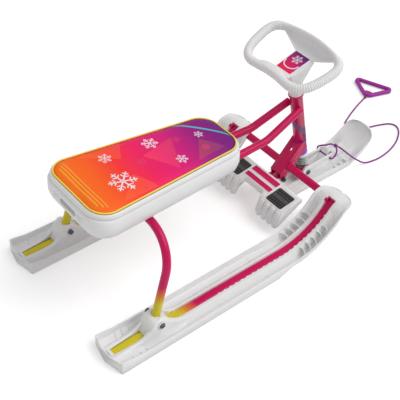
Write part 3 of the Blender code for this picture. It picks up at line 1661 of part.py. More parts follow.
def handle_frame():
    """Frame of the tow handle, lying on the ground."""
    place = Matrix.Translation((*HANDLE_CORNER, HANDLE_R + GAP))
    return place @ Matrix.Rotation(HANDLE_HEADING, 4, "Z")


def cord_knots():
    """Hand-chosen points of the tow cord, from knot to handle."""
    floor = CORD_R + GAP
    route = [
        (0.0200, 0.4280, 0.0640),
        (0.0380, 0.4370, 0.0540),
        (0.0530, 0.4490, 0.0410),
        (0.0630, 0.4660, 0.0270),
        (0.0680, 0.4860, 0.0120),
        (0.0710, 0.5080, floor + 0.0010),
        (0.0770, 0.5530, floor),
        (0.0700, 0.6120, floor),
        (0.0510, 0.6650, floor),
        (0.0230, 0.7050, floor),
        (-0.0030, 0.7175, floor),
        (-0.0240, 0.7020, floor),
        (-0.0470, 0.6500, floor),
        (-0.0700, 0.6080, floor),
        (-0.1050, 0.5960, floor),
        (-0.1260, 0.6240, floor),
        (-0.1420, 0.6730, floor),
        (-0.1540, 0.7180, floor),
    ]
    start = knot_exit(knot_centre(), route[0])
    end = knot_exit(end_knot_centre(), route[-1])
    return [start, *route, end]


def loop_knots():
    """Hand-chosen points of the loop through the ski's cheeks."""
    hole = Vector((0, CORD_HOLE_Y, CORD_HOLE_Z))
    side = CHEEK_INNER + CHEEK_WALL
    bend = side + 0.0065
    centre = knot_centre()
    left = [
        centre + Vector((-0.0070, -0.0160, 0.0090)),
        centre + Vector((-0.0150, -0.0290, 0.0060)),
        hole + Vector((-side + 0.0010, 0.0050, CHEEK_HEIGHT - hole.z + 0.0065)),
        hole + Vector((-bend - 0.0005, 0.0020, 0.0080)),
        hole + Vector((-bend, 0.0, 0.0015)),
        hole + Vector((-side + 0.0010, 0.0, 0.0)),
    ]
    right = [
        hole + Vector((side - 0.0010, 0.0, 0.0)),
        hole + Vector((bend, 0.0030, -0.0010)),
        hole + Vector((bend, 0.0170, 0.0030)),
        centre + Vector((0.0150, -0.0090, -0.0060)),
    ]
    route = [*left, hole, *right]
    return [knot_exit(centre, route[0]), *route, knot_exit(centre, route[-1])]


def make_knot(name, centre):
    """Round knot in the cord."""
    build = bmesh.new()
    bmesh.ops.create_icosphere(build, subdivisions=2, radius=KNOT_R)
    build.transform(Matrix.Translation(centre))
    return add_mesh(name, build, PURPLE)


def handle_outline():
    """Middle line of the tow handle, in its own frame."""
    half = HANDLE_WIDTH / 2 - HANDLE_R
    corners = [(0, 0, 0), (half, HANDLE_HEIGHT, 0), (-half, HANDLE_HEIGHT, 0)]
    return filleted(corners, (0.016, 0.009, 0.009), 6, closed=True)


def make_handle():
    """Three-cornered tow handle with a thick bar."""
    handle = wire("tow_handle", handle_outline(), HANDLE_R, PURPLE, 2, closed=True)
    handle.matrix_world = handle_frame()
    return handle


def make_tow_set():
    """Cord, loop, knots and handle."""
    wire("tow_cord", smooth_route(cord_knots(), 0.0125), CORD_R, PURPLE, 2)
    wire("tow_loop", smooth_route(loop_knots(), 0.0075), CORD_R, PURPLE, 2)
    make_knot("tow_knot_loop", knot_centre())
    make_knot("tow_knot_handle", end_knot_centre())
    make_handle()


def build_all():
    """Make every piece of the sled."""
    make_cushion()
    make_tray()
    make_seat_shell()
    for name, y in (("front", SADDLE_FRONT_Y), ("rear", SADDLE_REAR_Y)):
        make_strap(f"seat_strap_{name}", y)
        for side in (-1, 1):
            make_screw(side_name(f"seat_screw_{name}", side), side * SCREW_X, y)
    for side in (-1, 1):
        make_main_tube(side)
        make_ski_tube(side)
        make_rear_ski(side)
        make_leg_fasteners(side)
        make_pad(side)
    make_cross_bar()
    make_channel()
    make_head_tube()
    make_bushes()
    make_spring()
    make_spring_seat()
    make_fork()
    make_shaft()
    make_front_ski()
    make_pivot_fasteners()
    make_wheel()
    make_wheel_fasteners()
    make_brake_plate()
    make_brake_frame()
    make_hinge_pin()
    make_brake_spring()
    make_tow_set()


build_all()
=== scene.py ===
"""Looks of a child's steering sled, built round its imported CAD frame."""

import logging
from dataclasses import dataclass, field
from enum import Enum
from math import acos, ceil, cos, pi, radians, sin, sqrt, tan
from typing import Iterable, Optional, Sequence, Union

import bmesh
import bpy
from mathutils import Matrix, Vector
from mathutils.bvhtree import BVHTree

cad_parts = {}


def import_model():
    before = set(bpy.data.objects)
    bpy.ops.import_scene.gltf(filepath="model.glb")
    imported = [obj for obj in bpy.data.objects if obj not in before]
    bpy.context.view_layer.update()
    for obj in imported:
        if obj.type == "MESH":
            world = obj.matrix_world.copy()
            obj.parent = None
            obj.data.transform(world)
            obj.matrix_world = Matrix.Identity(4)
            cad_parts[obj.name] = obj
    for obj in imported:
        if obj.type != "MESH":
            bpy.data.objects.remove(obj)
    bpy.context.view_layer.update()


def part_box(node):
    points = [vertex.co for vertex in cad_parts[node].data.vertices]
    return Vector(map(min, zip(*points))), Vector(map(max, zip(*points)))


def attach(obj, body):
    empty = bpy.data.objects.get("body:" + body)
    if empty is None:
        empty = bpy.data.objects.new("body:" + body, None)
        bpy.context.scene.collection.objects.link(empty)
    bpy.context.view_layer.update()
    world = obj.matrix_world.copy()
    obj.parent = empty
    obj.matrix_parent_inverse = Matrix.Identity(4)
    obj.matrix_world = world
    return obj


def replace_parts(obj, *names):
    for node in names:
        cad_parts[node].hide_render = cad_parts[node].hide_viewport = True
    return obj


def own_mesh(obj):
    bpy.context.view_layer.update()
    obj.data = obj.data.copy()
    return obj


LOG = logging.getLogger("steering_sled")
Point = Sequence[float]
Colour = tuple[float, float, float]
Stops = Sequence[tuple[float, float]]
Outline = Sequence[tuple[float, float]]
Socket = bpy.types.NodeSocket
Mesh = bpy.types.Mesh
Piece = bpy.types.Object
Build = bmesh.types.BMesh

TURN = 2 * pi
FLANKS = (-1, 1)
X_AXIS = Vector((1, 0, 0))
Y_AXIS = Vector((0, 1, 0))
Z_AXIS = Vector((0, 0, 1))

STEER_TILT = radians(14.5)
STEER_AT = (0.0, 0.2420, 0.2300)
STEER = Matrix.Translation(STEER_AT) @ Matrix.Rotation(STEER_TILT, 4, "X")
STEER_AXIS = (STEER.to_3x3() @ Z_AXIS).normalized()
FLOOR_Z = -0.0005
SKI_TRACK = 0.200


class Body(Enum):
    """Moving bodies of the frame."""

    CHASSIS = "chassis"
    SLIDER = "slider"
    COLUMN = "column"
    RUNNER = "front_runner"
    BRAKE = "brake"


class Side(Enum):
    """Which side of the sled a piece is on."""

    LEFT = -1
    RIGHT = 1

    @property
    def label(self) -> str:
        """Word used in piece names."""
        return self.name.lower()


class Slot(Enum):
    """Material slots of the record."""

    WHITE = "white_plastic"
    PAINT = "pink_paint"
    ZINC = "zinc_steel"
    RUBBER = "black_rubber"
    PRINT = "printed_cover"
    CORD = "purple_cord"
    HANDLE = "purple_plastic"


def srgb(red: float, green: float, blue: float) -> Colour:
    """Turn screen values into linear colour.

    Args:
        red: Red from 0 to 255.
        green: Green from 0 to 255.
        blue: Blue from 0 to 255.

    Returns:
        The colour, each part from 0 to 1.
    """
    def linear(value: float) -> float:
        """One part of the colour."""
        share = value / 255
        return share / 12.92 if share <= 0.04045 else ((share + 0.055) / 1.055) ** 2.4
    return linear(red), linear(green), linear(blue)


# Finishes

@dataclass
class Sheet:
    """Node tree of one material, with a Principled shader."""

    name: str
    material: bpy.types.Material = field(init=False)

    def __post_init__(self) -> None:
        """Make the material and keep its shader and its object coordinates."""
        self.material = bpy.data.materials.new(self.name)
        self.material.use_nodes = True
        self.tree = self.material.node_tree
        self.shader = self.tree.nodes["Principled BSDF"]
        self.place = self.tree.nodes.new("ShaderNodeTexCoord").outputs["Object"]

    def fill(self, node: bpy.types.Node, **values: Union[float, Point]) -> None:
        """Set inputs of a node by name, where an underscore stands for a space."""
        for key, value in values.items():
            node.inputs[key.replace("_", " ")].default_value = value

    def node(self, kind: str, **values: Union[float, Point]) -> bpy.types.Node:
        """Add a node and set its inputs by name.

        Args:
            kind: Node type without its ShaderNode prefix.
            values: Input values; an underscore stands for a space.

        Returns:
            The new node.
        """
        made = self.tree.nodes.new(f"ShaderNode{kind}")
        self.fill(made, **values)
        return made

    def link(self, source: Socket, target: Socket) -> None:
        """Join two sockets."""
        self.tree.links.new(source, target)

    def reckon(self, kind: str, operation: str, first: Socket,
               second: Union[Socket, float, Point]) -> bpy.types.Node:
        """Add a node that reckons with two terms.

        Args:
            kind: Math or VectorMath.
            operation: What it does with the terms.
            first: Socket of the first term.
            second: Socket or constant of the second term.

        Returns:
            The new node.
        """
        made = self.node(kind)
        made.operation = operation
        self.link(first, made.inputs[0])
        if isinstance(second, bpy.types.NodeSocket):
            self.link(second, made.inputs[1])
        else:
            made.inputs[1].default_value = second
        return made

    def noise(self, scale: float, detail: float = 3.0) -> Socket:
        """Noise over the object's own coordinates.

        Args:
            scale: Repeats per metre.
            detail: Octaves.

        Returns:
            Socket of the noise.
        """
        made = self.node("TexNoise", Scale=scale, Detail=detail)
        self.link(self.place, made.inputs["Vector"])
        return made.outputs["Fac"]

    def bump(self, height: Socket, strength: float, depth: float) -> None:
        """Let a height field shape the surface.

        Args:
            height: Socket of the height.
            strength: Share of the relief that shows.
            depth: Height of the relief in metres.
        """
        made = self.node("Bump", Strength=strength, Distance=depth)
        self.link(height, made.inputs["Height"])
        self.link(made.outputs["Normal"], self.shader.inputs["Normal"])

    def ramp(self, value: Socket, stops: Iterable[tuple[float, Colour]]) -> Socket:
        """Colour ramp over a value.

        Args:
            value: Socket of the value.
            stops: Places from 0 to 1 with their colours.

        Returns:
            Socket of the colour.
        """
        made = self.node("ValToRGB")
        elements = made.color_ramp.elements
        stops = list(stops)
        while len(elements) < len(stops):
            elements.new(0.5)
        for element, (at, colour) in zip(elements, stops):
            element.position = at
            element.color = (*colour, 1.0)
        self.link(value, made.inputs["Fac"])
        return made.outputs["Color"]

    def along(self, direction: Point, low: float, high: float) -> Socket:
        """Share of the way between two levels along a direction.

        Args:
            direction: The direction.
            low: Level that gives 0.
            high: Level that gives 1.

        Returns:
            Socket of the share.
        """
        dot = self.reckon("VectorMath", "DOT_PRODUCT", self.place, direction)
        reach = self.node("MapRange", From_Min=low, From_Max=high)
        self.link(dot.outputs["Value"], reach.inputs["Value"])
        return reach.outputs["Result"]

    def constant(self, colour: Colour) -> Socket:
        """Colour that doesn't change.

        Args:
            colour: The colour.

        Returns:
            Its socket.
        """
        made = self.node("RGB")
        made.outputs[0].default_value = (*colour, 1.0)
        return made.outputs[0]

    def paint(self, colour: Socket, scale: float, amount: float) -> None:
        """Give the shader a colour that varies a little.

        Args:
            colour: Socket of the colour.
            scale: Patches per metre.
            amount: How much darker the darkest patches are.
        """
        shade = self.ramp(self.noise(scale), [(0.25, (1 - amount,) * 3), (0.75, (1.0,) * 3)])
        mixed = self.reckon("VectorMath", "MULTIPLY", colour, shade)
        self.link(mixed.outputs["Vector"], self.shader.inputs["Base Color"])


@dataclass(frozen=True)
class Finish:
    """A finish of one colour, with fine grain."""

    name: str
    slot: Slot
    colour: Colour
    roughness: float = 0.45
    metallic: float = 0.0
    grain: float = 900.0
    grain_strength: float = 0.08
    patch: float = 18.0
    variation: float = 0.03
    specular: float = 0.5

    def base(self, sheet: Sheet) -> Socket:
        """Colour before its variation."""
        return sheet.constant(self.colour)

    def relief(self, sheet: Sheet) -> None:
        """Surface grain."""
        sheet.bump(sheet.noise(self.grain), self.grain_strength, 0.0004)

    def material(self) -> bpy.types.Material:
        """Make the material once, then share it.

        Returns:
            The material.
        """
        known = bpy.data.materials.get(self.name)
        if known:
            return known
        sheet = Sheet(self.name)
        sheet.paint(self.base(sheet), self.patch, self.variation)
        sheet.fill(sheet.shader, Roughness=self.roughness, Metallic=self.metallic,
                   Specular_IOR_Level=self.specular)
        self.relief(sheet)
        return sheet.material


@dataclass(frozen=True)
class Faded(Finish):
    """Finish that changes colour along a direction, where it has stops."""

    direction: Point = (0.0, 0.0, 1.0)
    low: float = 0.0
    high: float = 1.0
    stops: tuple[tuple[float, Colour], ...] = ()

    def base(self, sheet: Sheet) -> Socket:
        """Colour ramp along the direction.

        Args:
            sheet: Node tree that takes the ramp.

        Returns:
            Socket of the colour.
        """
        if not self.stops:
            return super().base(sheet)
        return sheet.ramp(sheet.along(self.direction, self.low, self.high), self.stops)


CRIMSON = srgb(204, 6, 88)
YELLOW = srgb(214, 196, 38)
ORANGE = srgb(222, 120, 50)


@dataclass(frozen=True)
class Paint(Faded):
    """Glossy paint on steel."""

    slot: Slot = Slot.PAINT
    colour: Colour = CRIMSON
    roughness: float = 0.30
    grain: float = 300.0
    grain_strength: float = 0.04
    patch: float = 9.0
    variation: float = 0.05
    specular: float = 0.28


@dataclass(frozen=True)
class Cover(Faded):
    """Woven seat cover, printed from its rear to its front."""

    slot: Slot = Slot.PRINT
    colour: Colour = CRIMSON
    roughness: float = 0.58
    grain: float = 1500.0
    grain_strength: float = 0.25
    patch: float = 30.0
    specular: float = 0.25
    direction: Point = (0.10, 1.0, 0.0)
    low: float = -0.50
    high: float = -0.04


@dataclass(frozen=True)
class Ink(Finish):
    """Print of one colour on the seat cover or the badge."""

    slot: Slot = Slot.PRINT
    colour: Colour = YELLOW
    roughness: float = 0.6
    grain: float = 1500.0
    grain_strength: float = 0.2


@dataclass(frozen=True)
class Woven(Finish):
    """Cord with a diagonal braid."""

    def relief(self, sheet: Sheet) -> None:
        """Braid made of diagonal waves.

        Args:
            sheet: Node tree that takes the relief.
        """
        wave = sheet.node("TexWave", Scale=180.0, Distortion=2.0)
        wave.bands_direction = "DIAGONAL"
        sheet.link(sheet.place, wave.inputs["Vector"])
        sheet.bump(wave.outputs["Fac"], 0.35, 0.0005)


WHITE = Finish("white_moulding", Slot.WHITE, srgb(232, 232, 232), roughness=0.42)
# Lighter, glossier copy of the white moulding for raised rims, lips, teeth, marks, the thumb
# plate and the bushes: a painted highlight.
HIGHLIGHT_WHITE = Finish("white_rim_highlight", Slot.WHITE, srgb(236, 236, 236), roughness=0.38)
BADGE = Faded("badge", Slot.WHITE, CRIMSON, roughness=0.35, grain_strength=0.04, patch=30.0,
              variation=0.02, specular=0.3, direction=(0.3, 0.95, 0.0), low=0.145, high=0.215,
              stops=((0.0, srgb(240, 26, 84)), (0.42, srgb(200, 14, 104)),
                     (0.80, srgb(112, 12, 116)), (1.0, srgb(90, 10, 110))))

PINK = Paint("crimson_paint", variation=0.06)
HAZE = Paint("violet_band", colour=srgb(118, 74, 124), roughness=0.34, specular=0.5)
LEG_PAINT = Paint("leg_paint", low=0.080, high=0.150,
                  stops=((0.0, YELLOW), (0.30, YELLOW), (0.65, ORANGE), (1.0, CRIMSON)))
SKI_TUBE_PAINT = Paint("ski_tube_paint", roughness=0.34, variation=0.06,
                       direction=(0.0, 1.0, 0.0), low=-0.36, high=-0.20,
                       stops=((0.0, YELLOW), (0.17, YELLOW), (0.34, ORANGE), (0.52, CRIMSON)))
HEAD_PAINT = Paint("head_paint", roughness=0.28, specular=0.3,
                   direction=(0.0, -0.25, 0.968), low=0.052, high=0.160,
                   stops=((0.0, srgb(160, 36, 204)), (0.22, srgb(160, 36, 196)),
                          (0.50, srgb(188, 22, 120)), (0.70, srgb(200, 26, 90))))
DOT = Finish("black_dot", Slot.PAINT, srgb(34, 22, 44), roughness=0.5)

ZINC = Finish("zinc", Slot.ZINC, srgb(150, 152, 152), roughness=0.34, metallic=0.9,
              grain=500.0, grain_strength=0.05, patch=60.0, variation=0.15)
DARK_ZINC = Finish("dark_bolt", Slot.ZINC, srgb(112, 114, 116), roughness=0.38, metallic=0.8,
                   grain=500.0, grain_strength=0.05, patch=60.0, variation=0.2)
SPRING_GREY = Finish("spring_grey", Slot.ZINC, srgb(186, 192, 188), roughness=0.42,
                     metallic=0.15, grain=400.0, grain_strength=0.05)

RUBBER = Finish("tread_rubber", Slot.RUBBER, srgb(38, 38, 38), roughness=0.75, grain=700.0,
                grain_strength=0.25, patch=40.0, variation=0.2)
BAND = Finish("tread_band", Slot.RUBBER, srgb(74, 74, 74), roughness=0.70, grain=700.0,
              grain_strength=0.15)
# Embossed triangles in a lighter grey than the black rubber: a painted highlight on their raised
# faces.
TREAD_HIGHLIGHT = Finish("tread_mark_highlight", Slot.RUBBER, srgb(86, 86, 86), roughness=0.70, grain=700.0,
               grain_strength=0.15)

COVER = Cover("winter_cover", stops=(
    (0.0, srgb(255, 120, 20)), (0.16, srgb(255, 96, 24)), (0.30, srgb(252, 50, 52)),
    (0.44, srgb(244, 22, 96)), (0.62, srgb(222, 14, 120)), (0.80, srgb(158, 14, 126)),
    (1.0, srgb(102, 16, 124))))
FACET = Cover("lighter_facet", stops=(
    (0.0, srgb(255, 132, 34)), (0.30, srgb(255, 78, 52)), (0.55, srgb(246, 46, 112)),
    (0.80, srgb(166, 58, 110)), (1.0, srgb(126, 44, 132))))
PIPING = Ink("yellow_piping", colour=srgb(246, 216, 82), roughness=0.5, grain=1200.0)
STRIPE = Ink("yellow_stripe", colour=srgb(250, 170, 40))
FLAKE = Ink("white_flake", colour=srgb(244, 236, 244))
ROSE = Ink("rose_flake", colour=srgb(236, 60, 120))
TEAL = Ink("teal_line", colour=srgb(60, 190, 200))

CORD = Woven("braided_cord", Slot.CORD, srgb(134, 38, 130), roughness=0.6)
HANDLE = Finish("purple_moulding", Slot.HANDLE, srgb(162, 42, 154), roughness=0.38,
                specular=0.35)


# Pieces

def added(name: str, data: bpy.types.ID) -> Piece:
    """Add an object to the scene.

    Args:
        name: Its name.
        data: Its mesh, curve, lamp or camera.

    Returns:
        The object.
    """
    item = bpy.data.objects.new(name, data)
    bpy.context.scene.collection.objects.link(item)
    return item


def settle(name: str, mesh: Mesh, finish: Finish, body: Body = Body.CHASSIS,
           sharp: float = 40.0) -> Piece:
    """Make a piece from a mesh, dress it and let it ride its body.

    Args:
        name: Piece name.
        mesh: Its mesh, in the row frame.
        finish: What it is made of.
        body: The body it moves with.
        sharp: Angle above which an edge stays sharp, in degrees.

    Returns:
        The piece.
    """
    piece = added(name, mesh)
    mesh.materials.clear()
    mesh.materials.append(finish.material())
    mesh.shade_smooth()
    mesh.set_sharp_from_angle(angle=radians(sharp))
    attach(piece, body.value)
    LOG.info("%s in %s rides %s", name, finish.name, body.value)
    return piece


def stand_in(node: str, mesh: Mesh, finish: Finish, body: Body = Body.CHASSIS,
             sharp: float = 40.0) -> Piece:
    """Make a piece that is seen in place of a CAD node.

    Args:
        node: Name of the node.
        mesh: Mesh of the piece, in the row frame.
        finish: What it is made of.
        body: The body it moves with.
        sharp: Angle above which an edge stays sharp, in degrees.

    Returns:
        The piece.
    """
    piece = settle(f"{node}_form", mesh, finish, body, sharp)
    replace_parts(piece, node)
    return piece


def frozen(item: Piece) -> Mesh:
    """Apply an object's modifiers and remove the object.

    Args:
        item: The object.

    Returns:
        Its mesh as it was seen.
    """
    graph = bpy.context.evaluated_depsgraph_get()
    mesh = bpy.data.meshes.new_from_object(item.evaluated_get(graph))
    bpy.data.objects.remove(item, do_unlink=True)
    return mesh


def softened(node: str, width: float, angle: float = 32.0) -> Mesh:
    """Copy a CAD node with its edges rounded.

    Args:
        node: Name of the node.
        width: Width of the rounding.
        angle: Edges flatter than this stay as they are, in degrees.

    Returns:
        The rounded mesh, in the row frame.
    """
    build = bmesh.new()
    build.from_mesh(bpy.data.objects[node].data)
    bmesh.ops.remove_doubles(build, verts=build.verts, dist=0.00001)
    bmesh.ops.dissolve_limit(build, angle_limit=radians(1.5), verts=build.verts,
                             edges=build.edges)
    mesh = bpy.data.meshes.new(f"{node}_soft")
    build.to_mesh(mesh)
    build.free()
    work = added("work", mesh)
    step = work.modifiers.new("round", "BEVEL")
    step.width = width
    step.segments = 2
    step.limit_method = "ANGLE"
    step.angle_limit = radians(angle)
    step.use_clamp_overlap = True
    step.harden_normals = True
    return frozen(work)


def soften(node: str, finish: Finish, body: Body, width: float,
           angle: float = 32.0) -> Piece:
    """Let a copy stand in for a CAD node, with edges sharper than an angle rounded."""
    return stand_in(node, softened(node, width, angle), finish, body)


def dress(node: str, finish: Finish) -> None:
    """Give a shown CAD node its finish.

    Args:
        node: Name of the node.
        finish: What it is made of.
    """
    mesh = bpy.data.objects[node].data
    mesh.materials.clear()
    mesh.materials.append(finish.material())
    mesh.shade_smooth()
    mesh.set_sharp_from_angle(angle=radians(35.0))
    LOG.info("%s in %s is shown as it is", node, finish.name)


# Shapes

def around(count: int, phase: float = 0.0) -> list[float]:
    """Angles spaced evenly round a circle, the first one at a share of their spacing."""
    return [TURN * (k + phase) / count for k in range(count)]


def skin(build: Build, rings: Sequence[Sequence[Point]], closed: bool = False,
         caps: bool = True) -> None:
    """Skin a row of rings of points into a mesh being built.

    Args:
        build: Mesh being built.
        rings: Rings with equal counts of points.
        closed: Whether the last ring joins the first.
        caps: Whether open ends are filled.
    """
    rows = [[build.verts.new(p) for p in ring] for ring in rings]
    pairs = list(zip(rows, rows[1:]))
    if closed:
        pairs.append((rows[-1], rows[0]))
    count = len(rows[0])
    for low, high in pairs:
        for i in range(count):
            j = (i + 1) % count
            build.faces.new((low[i], low[j], high[j], high[i]))
    if caps and not closed:
        build.faces.new(rows[0])
        build.faces.new(rows[-1])


def baked(name: str, build: Build) -> Mesh:
    """Turn a mesh being built into a mesh with its faces outward.

    Args:
        name: Mesh name.
        build: Mesh being built, which is freed.

    Returns:
        The mesh.
    """
    bmesh.ops.recalc_face_normals(build, faces=build.faces)
    mesh = bpy.data.meshes.new(name)
    build.to_mesh(mesh)
    build.free()
    return mesh


def loft(name: str, rings: Sequence[Sequence[Point]], closed: bool = False,
         caps: bool = True) -> Mesh:
    """Skin a row of rings of points.

    Args:
        name: Mesh name.
        rings: Rings with equal counts of points.
        closed: Whether the last ring joins the first.
        caps: Whether open ends are filled.

    Returns:
        The mesh.
    """
    build = bmesh.new()
    skin(build, rings, closed, caps)
    return baked(name, build)


def moved(mesh: Mesh, matrix: Matrix) -> Mesh:
    """Place a mesh by a matrix."""
    mesh.transform(matrix)
    return mesh


def pipe(name: str, points: Sequence[Point], radius: float, sides: int = 16,
         closed: bool = False) -> Mesh:
    """Round tube along a line of points.

    Args:
        name: Mesh name.
        points: Middle line.
        radius: Radius of the tube.
        sides: Points round the tube.
        closed: Whether the line is a loop.

    Returns:
        The mesh.
    """
    path = [Vector(p) for p in points]
    rings = []
    normal: Optional[Vector] = None
    count = len(path)
    for i, point in enumerate(path):
        ahead = path[(i + 1) % count] if closed else path[min(i + 1, count - 1)]
        behind = path[i - 1] if closed else path[max(i - 1, 0)]
        run = (ahead - behind).normalized()
        if normal is None:
            normal = run.orthogonal().normalized()
        normal = (normal - run * normal.dot(run)).normalized()
        side = run.cross(normal)
        rings.append([point + radius * (normal * cos(a) + side * sin(a))
                      for a in around(sides)])
    return loft(name, rings, closed)


def filleted(corners: Sequence[Point], radii: Sequence[float], steps: int,
             closed: bool = False) -> list[Vector]:
    """Round the corners of a line of points with arcs.

    Args:
        corners: The line.
        radii: Radius at each corner; 0 keeps it sharp.
        steps: Segments of each arc.
        closed: Whether the line is a loop.

    Returns:
        Points of the rounded line.
    """
    corners = [Vector(c) for c in corners]
    points: list[Vector] = []
    count = len(corners)
    for i, corner in enumerate(corners):
        radius = radii[i]
        if radius == 0 or (not closed and i in (0, count - 1)):
            points.append(corner)
            continue
        back = (corners[i - 1] - corner).normalized()
        ahead = (corners[(i + 1) % count] - corner).normalized()
        angle = acos(max(-1.0, min(1.0, back.dot(ahead))))
        trim = radius / tan(angle / 2)
        centre = corner + (back + ahead).normalized() * radius / sin(angle / 2)
        start = corner + back * trim - centre
        end = corner + ahead * trim - centre
        sweep = acos(max(-1.0, min(1.0, start.dot(end) / radius**2)))
        for step in range(steps + 1):
            t = step / steps
            point = start * sin((1 - t) * sweep) + end * sin(t * sweep)
            points.append(centre + point / sin(sweep))
    return points


def rounded_plan(halves: tuple[float, float], ends: tuple[float, float],
                 radii: Sequence[float], steps: int, level: float = 0.0) -> list[Vector]:
    """Outline of a plate with four rounded corners.

    Args:
        halves: Half its width at the rear and at the front.
        ends: Where it starts and ends from rear to front.
        radii: Radii of its corners, the rear left one first.
        steps: Segments of each corner.
        level: Height of the outline.

    Returns:
        Points of the outline.
    """
    (rear_half, front_half), (rear, front) = halves, ends
    corners = [(-rear_half, rear, level), (rear_half, rear, level),
               (front_half, front, level), (-front_half, front, level)]
    return filleted(corners, radii, steps, closed=True)


def smooth_route(knots: Sequence[Point], spacing: float) -> list[Vector]:
    """Smooth curve through given points.

    Args:
        knots: The points.
        spacing: Distance between the points that are returned, about.

    Returns:
        Points of the curve.
    """
    knots = [Vector(knot) for knot in knots]
    padded = [2 * knots[0] - knots[1], *knots, 2 * knots[-1] - knots[-2]]
    points = [knots[0]]
    for i in range(1, len(padded) - 2):
        before, start, end, after = padded[i - 1:i + 3]
        pieces = max(1, round((end - start).length / spacing))
        for step in range(1, pieces + 1):
            t = step / pieces
            points.append(
                start * (2 * t**3 - 3 * t**2 + 1) + (end - before) / 2 * (t**3 - 2 * t**2 + t)
                + end * (3 * t**2 - 2 * t**3) + (after - start) / 2 * (t**3 - t**2)
            )
    return points


def between(value: float, stops: Stops) -> float:
    """Smooth step between the stops on either side of a value.

    Args:
        value: Where to look.
        stops: Places with their levels.

    Returns:
        The level there.
    """
    if value <= stops[0][0]:
        return stops[0][1]
    for (x0, y0), (x1, y1) in zip(stops, stops[1:]):
        if value <= x1:
            t = (value - x0) / (x1 - x0)
            return y0 + (y1 - y0) * t * t * (3 - 2 * t)
    return stops[-1][1]


def curved(value: float, stops: Stops) -> float:
    """Smooth curve through all the stops.

    Args:
        value: Where to look.
        stops: Places with their levels.

    Returns:
        The level there.
    """
    if value <= stops[0][0]:
        return stops[0][1]
    if value >= stops[-1][0]:
        return stops[-1][1]
    i = next(k for k in range(1, len(stops)) if value <= stops[k][0])
    (x0, y0), (x1, y1) = stops[i - 1], stops[i]
    before, after = stops[max(0, i - 2)], stops[min(len(stops) - 1, i + 1)]
    h = x1 - x0
    t = (value - x0) / h
    start = h * (y1 - before[1]) / (x1 - before[0])
    end = h * (after[1] - y0) / (after[0] - x0)
    return (y0 * (2 * t**3 - 3 * t**2 + 1) + start * (t**3 - 2 * t**2 + t)
            + y1 * (3 * t**2 - 2 * t**3) + end * (t**3 - t**2))


def ramped(value: float, start: float, length: float) -> float:
    """Share of a stretch that lies before a value, from 0 to 1."""
    return min(1.0, max(0.0, (value - start) / length))


def flat_oval(half_width: float, half_depth: float, steps: int = 10) -> Outline:
    """Outline of a flat-sided tube with round ends.

    Args:
        half_width: Half its width.
        half_depth: Half its depth, and the radius of its ends.
        steps: Segments of each end.

    Returns:
        Points of the outline.
    """
    straight = half_width - half_depth
    turns = [(end, pi * (step / steps - 0.5) + (0 if end > 0 else pi))
             for end in (1, -1) for step in range(steps + 1)]
    return [(end * straight + half_depth * cos(a), half_depth * sin(a))
            for end, a in turns]


def bead(build: Build, centre: Point, along: Vector, across: Vector,
         half_long: float, half_wide: float, rise: float) -> None:
    """Add a low bead with sloped ends and sides to a mesh being built.

    Args:
        build: Mesh being built.
        centre: Middle of its foot.
        along: Unit vector of its length.
        across: Unit vector of its width.
        half_long: Half its length.
        half_wide: Half its width.
        rise: Height above its foot.
    """
    up = across.cross(along).normalized()
    if up.z < -0.2:
        up = -up
    rings = []
    for share, height in ((1.0, -0.0010), (1.0, 0.35 * rise), (0.72, 0.85 * rise), (0.35, rise)):
        long_half = half_long - half_wide * (1 - share)
        rings.append([Vector(centre) + along * long_half * u + across * half_wide * share * v
                      + up * height
                      for u, v in ((-1, -1), (0, -1.0), (1, -1), (1, 1), (0, 1.0), (-1, 1))])
    skin(build, rings)


def snowflake(at: tuple[float, float], size: float, turn: float) -> list[Outline]:
    """Outlines of one snowflake: six arms with two pairs of barbs.

    Args:
        at: Its middle.
        size: Length of an arm.
        turn: Angle of the first arm in radians.

    Returns:
        One outline for each bar.
    """
    outlines: list[Outline] = []
    centre = complex(*at)
    for k in range(6):
        arm = complex(cos(turn + k * pi / 3), sin(turn + k * pi / 3))
        bars = [(arm * size * 0.04, arm * size, size * 0.10)]
        for reach, barb in ((0.45, 0.34), (0.72, 0.24)):
            for bend in (-1, 1):
                root = arm * size * reach
                lean = complex(cos(bend), sin(bend))
                bars.append((root, root + arm * lean * size * barb, size * 0.08))
        for start, end, width in bars:
            side = (end - start) / abs(end - start) * 1j * width / 2
            outlines.append([((centre + p).real, (centre + p).imag)
                             for p in (start - side, end - side, end + side, start + side)])
    return outlines


# Running lines of the skis

@dataclass(frozen=True)
class Run:
    """Stretch of a ski's sole with one bend."""

    start: float
    y: float
    z: float
    slope: float
    bend: float

    def at(self, distance: float) -> tuple[float, float, float]:
        """Place, height and slope in the stretch.

        Args:
            distance: How far into the stretch.

        Returns:
            Its y, its z and its slope in radians.
        """
        end = self.slope + self.bend * distance
        if self.bend == 0.0:
            return (self.y + distance * cos(end), self.z + distance * sin(end), end)
        return (self.y + (sin(end) - sin(self.slope)) / self.bend,
                self.z - (cos(end) - cos(self.slope)) / self.bend, end)


@dataclass
class Sole:
    """Running line of a ski: level runs and arcs, one after another."""

    start: float
    stretches: Sequence[tuple[float, float]]
    runs: list[Run] = field(default_factory=list)

    def __post_init__(self) -> None:
        """Lay the stretches end to end."""
        begun, y, z, slope = 0.0, self.start, 0.0, 0.0
        for length, turn in self.stretches:
            run = Run(begun, y, z, slope, turn / length)
            self.runs.append(run)
            y, z, slope = run.at(length)
            begun += length

    def length(self) -> float:
        """Length of the whole line."""
        return sum(length for length, _ in self.stretches)

    def place(self, along: float, across: float, up: float) -> Vector:
        """World point above the line.

        Args:
            along: Distance along the line.
            across: Distance to the side.
            up: Height above the line, at right angles to it.

        Returns:
            The point.
        """
        run = [r for r in self.runs if r.start <= along][-1]
        y, z, slope = run.at(along - run.start)
        return Vector((across, y - up * sin(slope), z + up * cos(slope)))

    def heading(self, along: float) -> Vector:
        """Unit vector along the line."""
        return (self.place(along + 0.001, 0, 0) - self.place(along, 0, 0)).normalized()


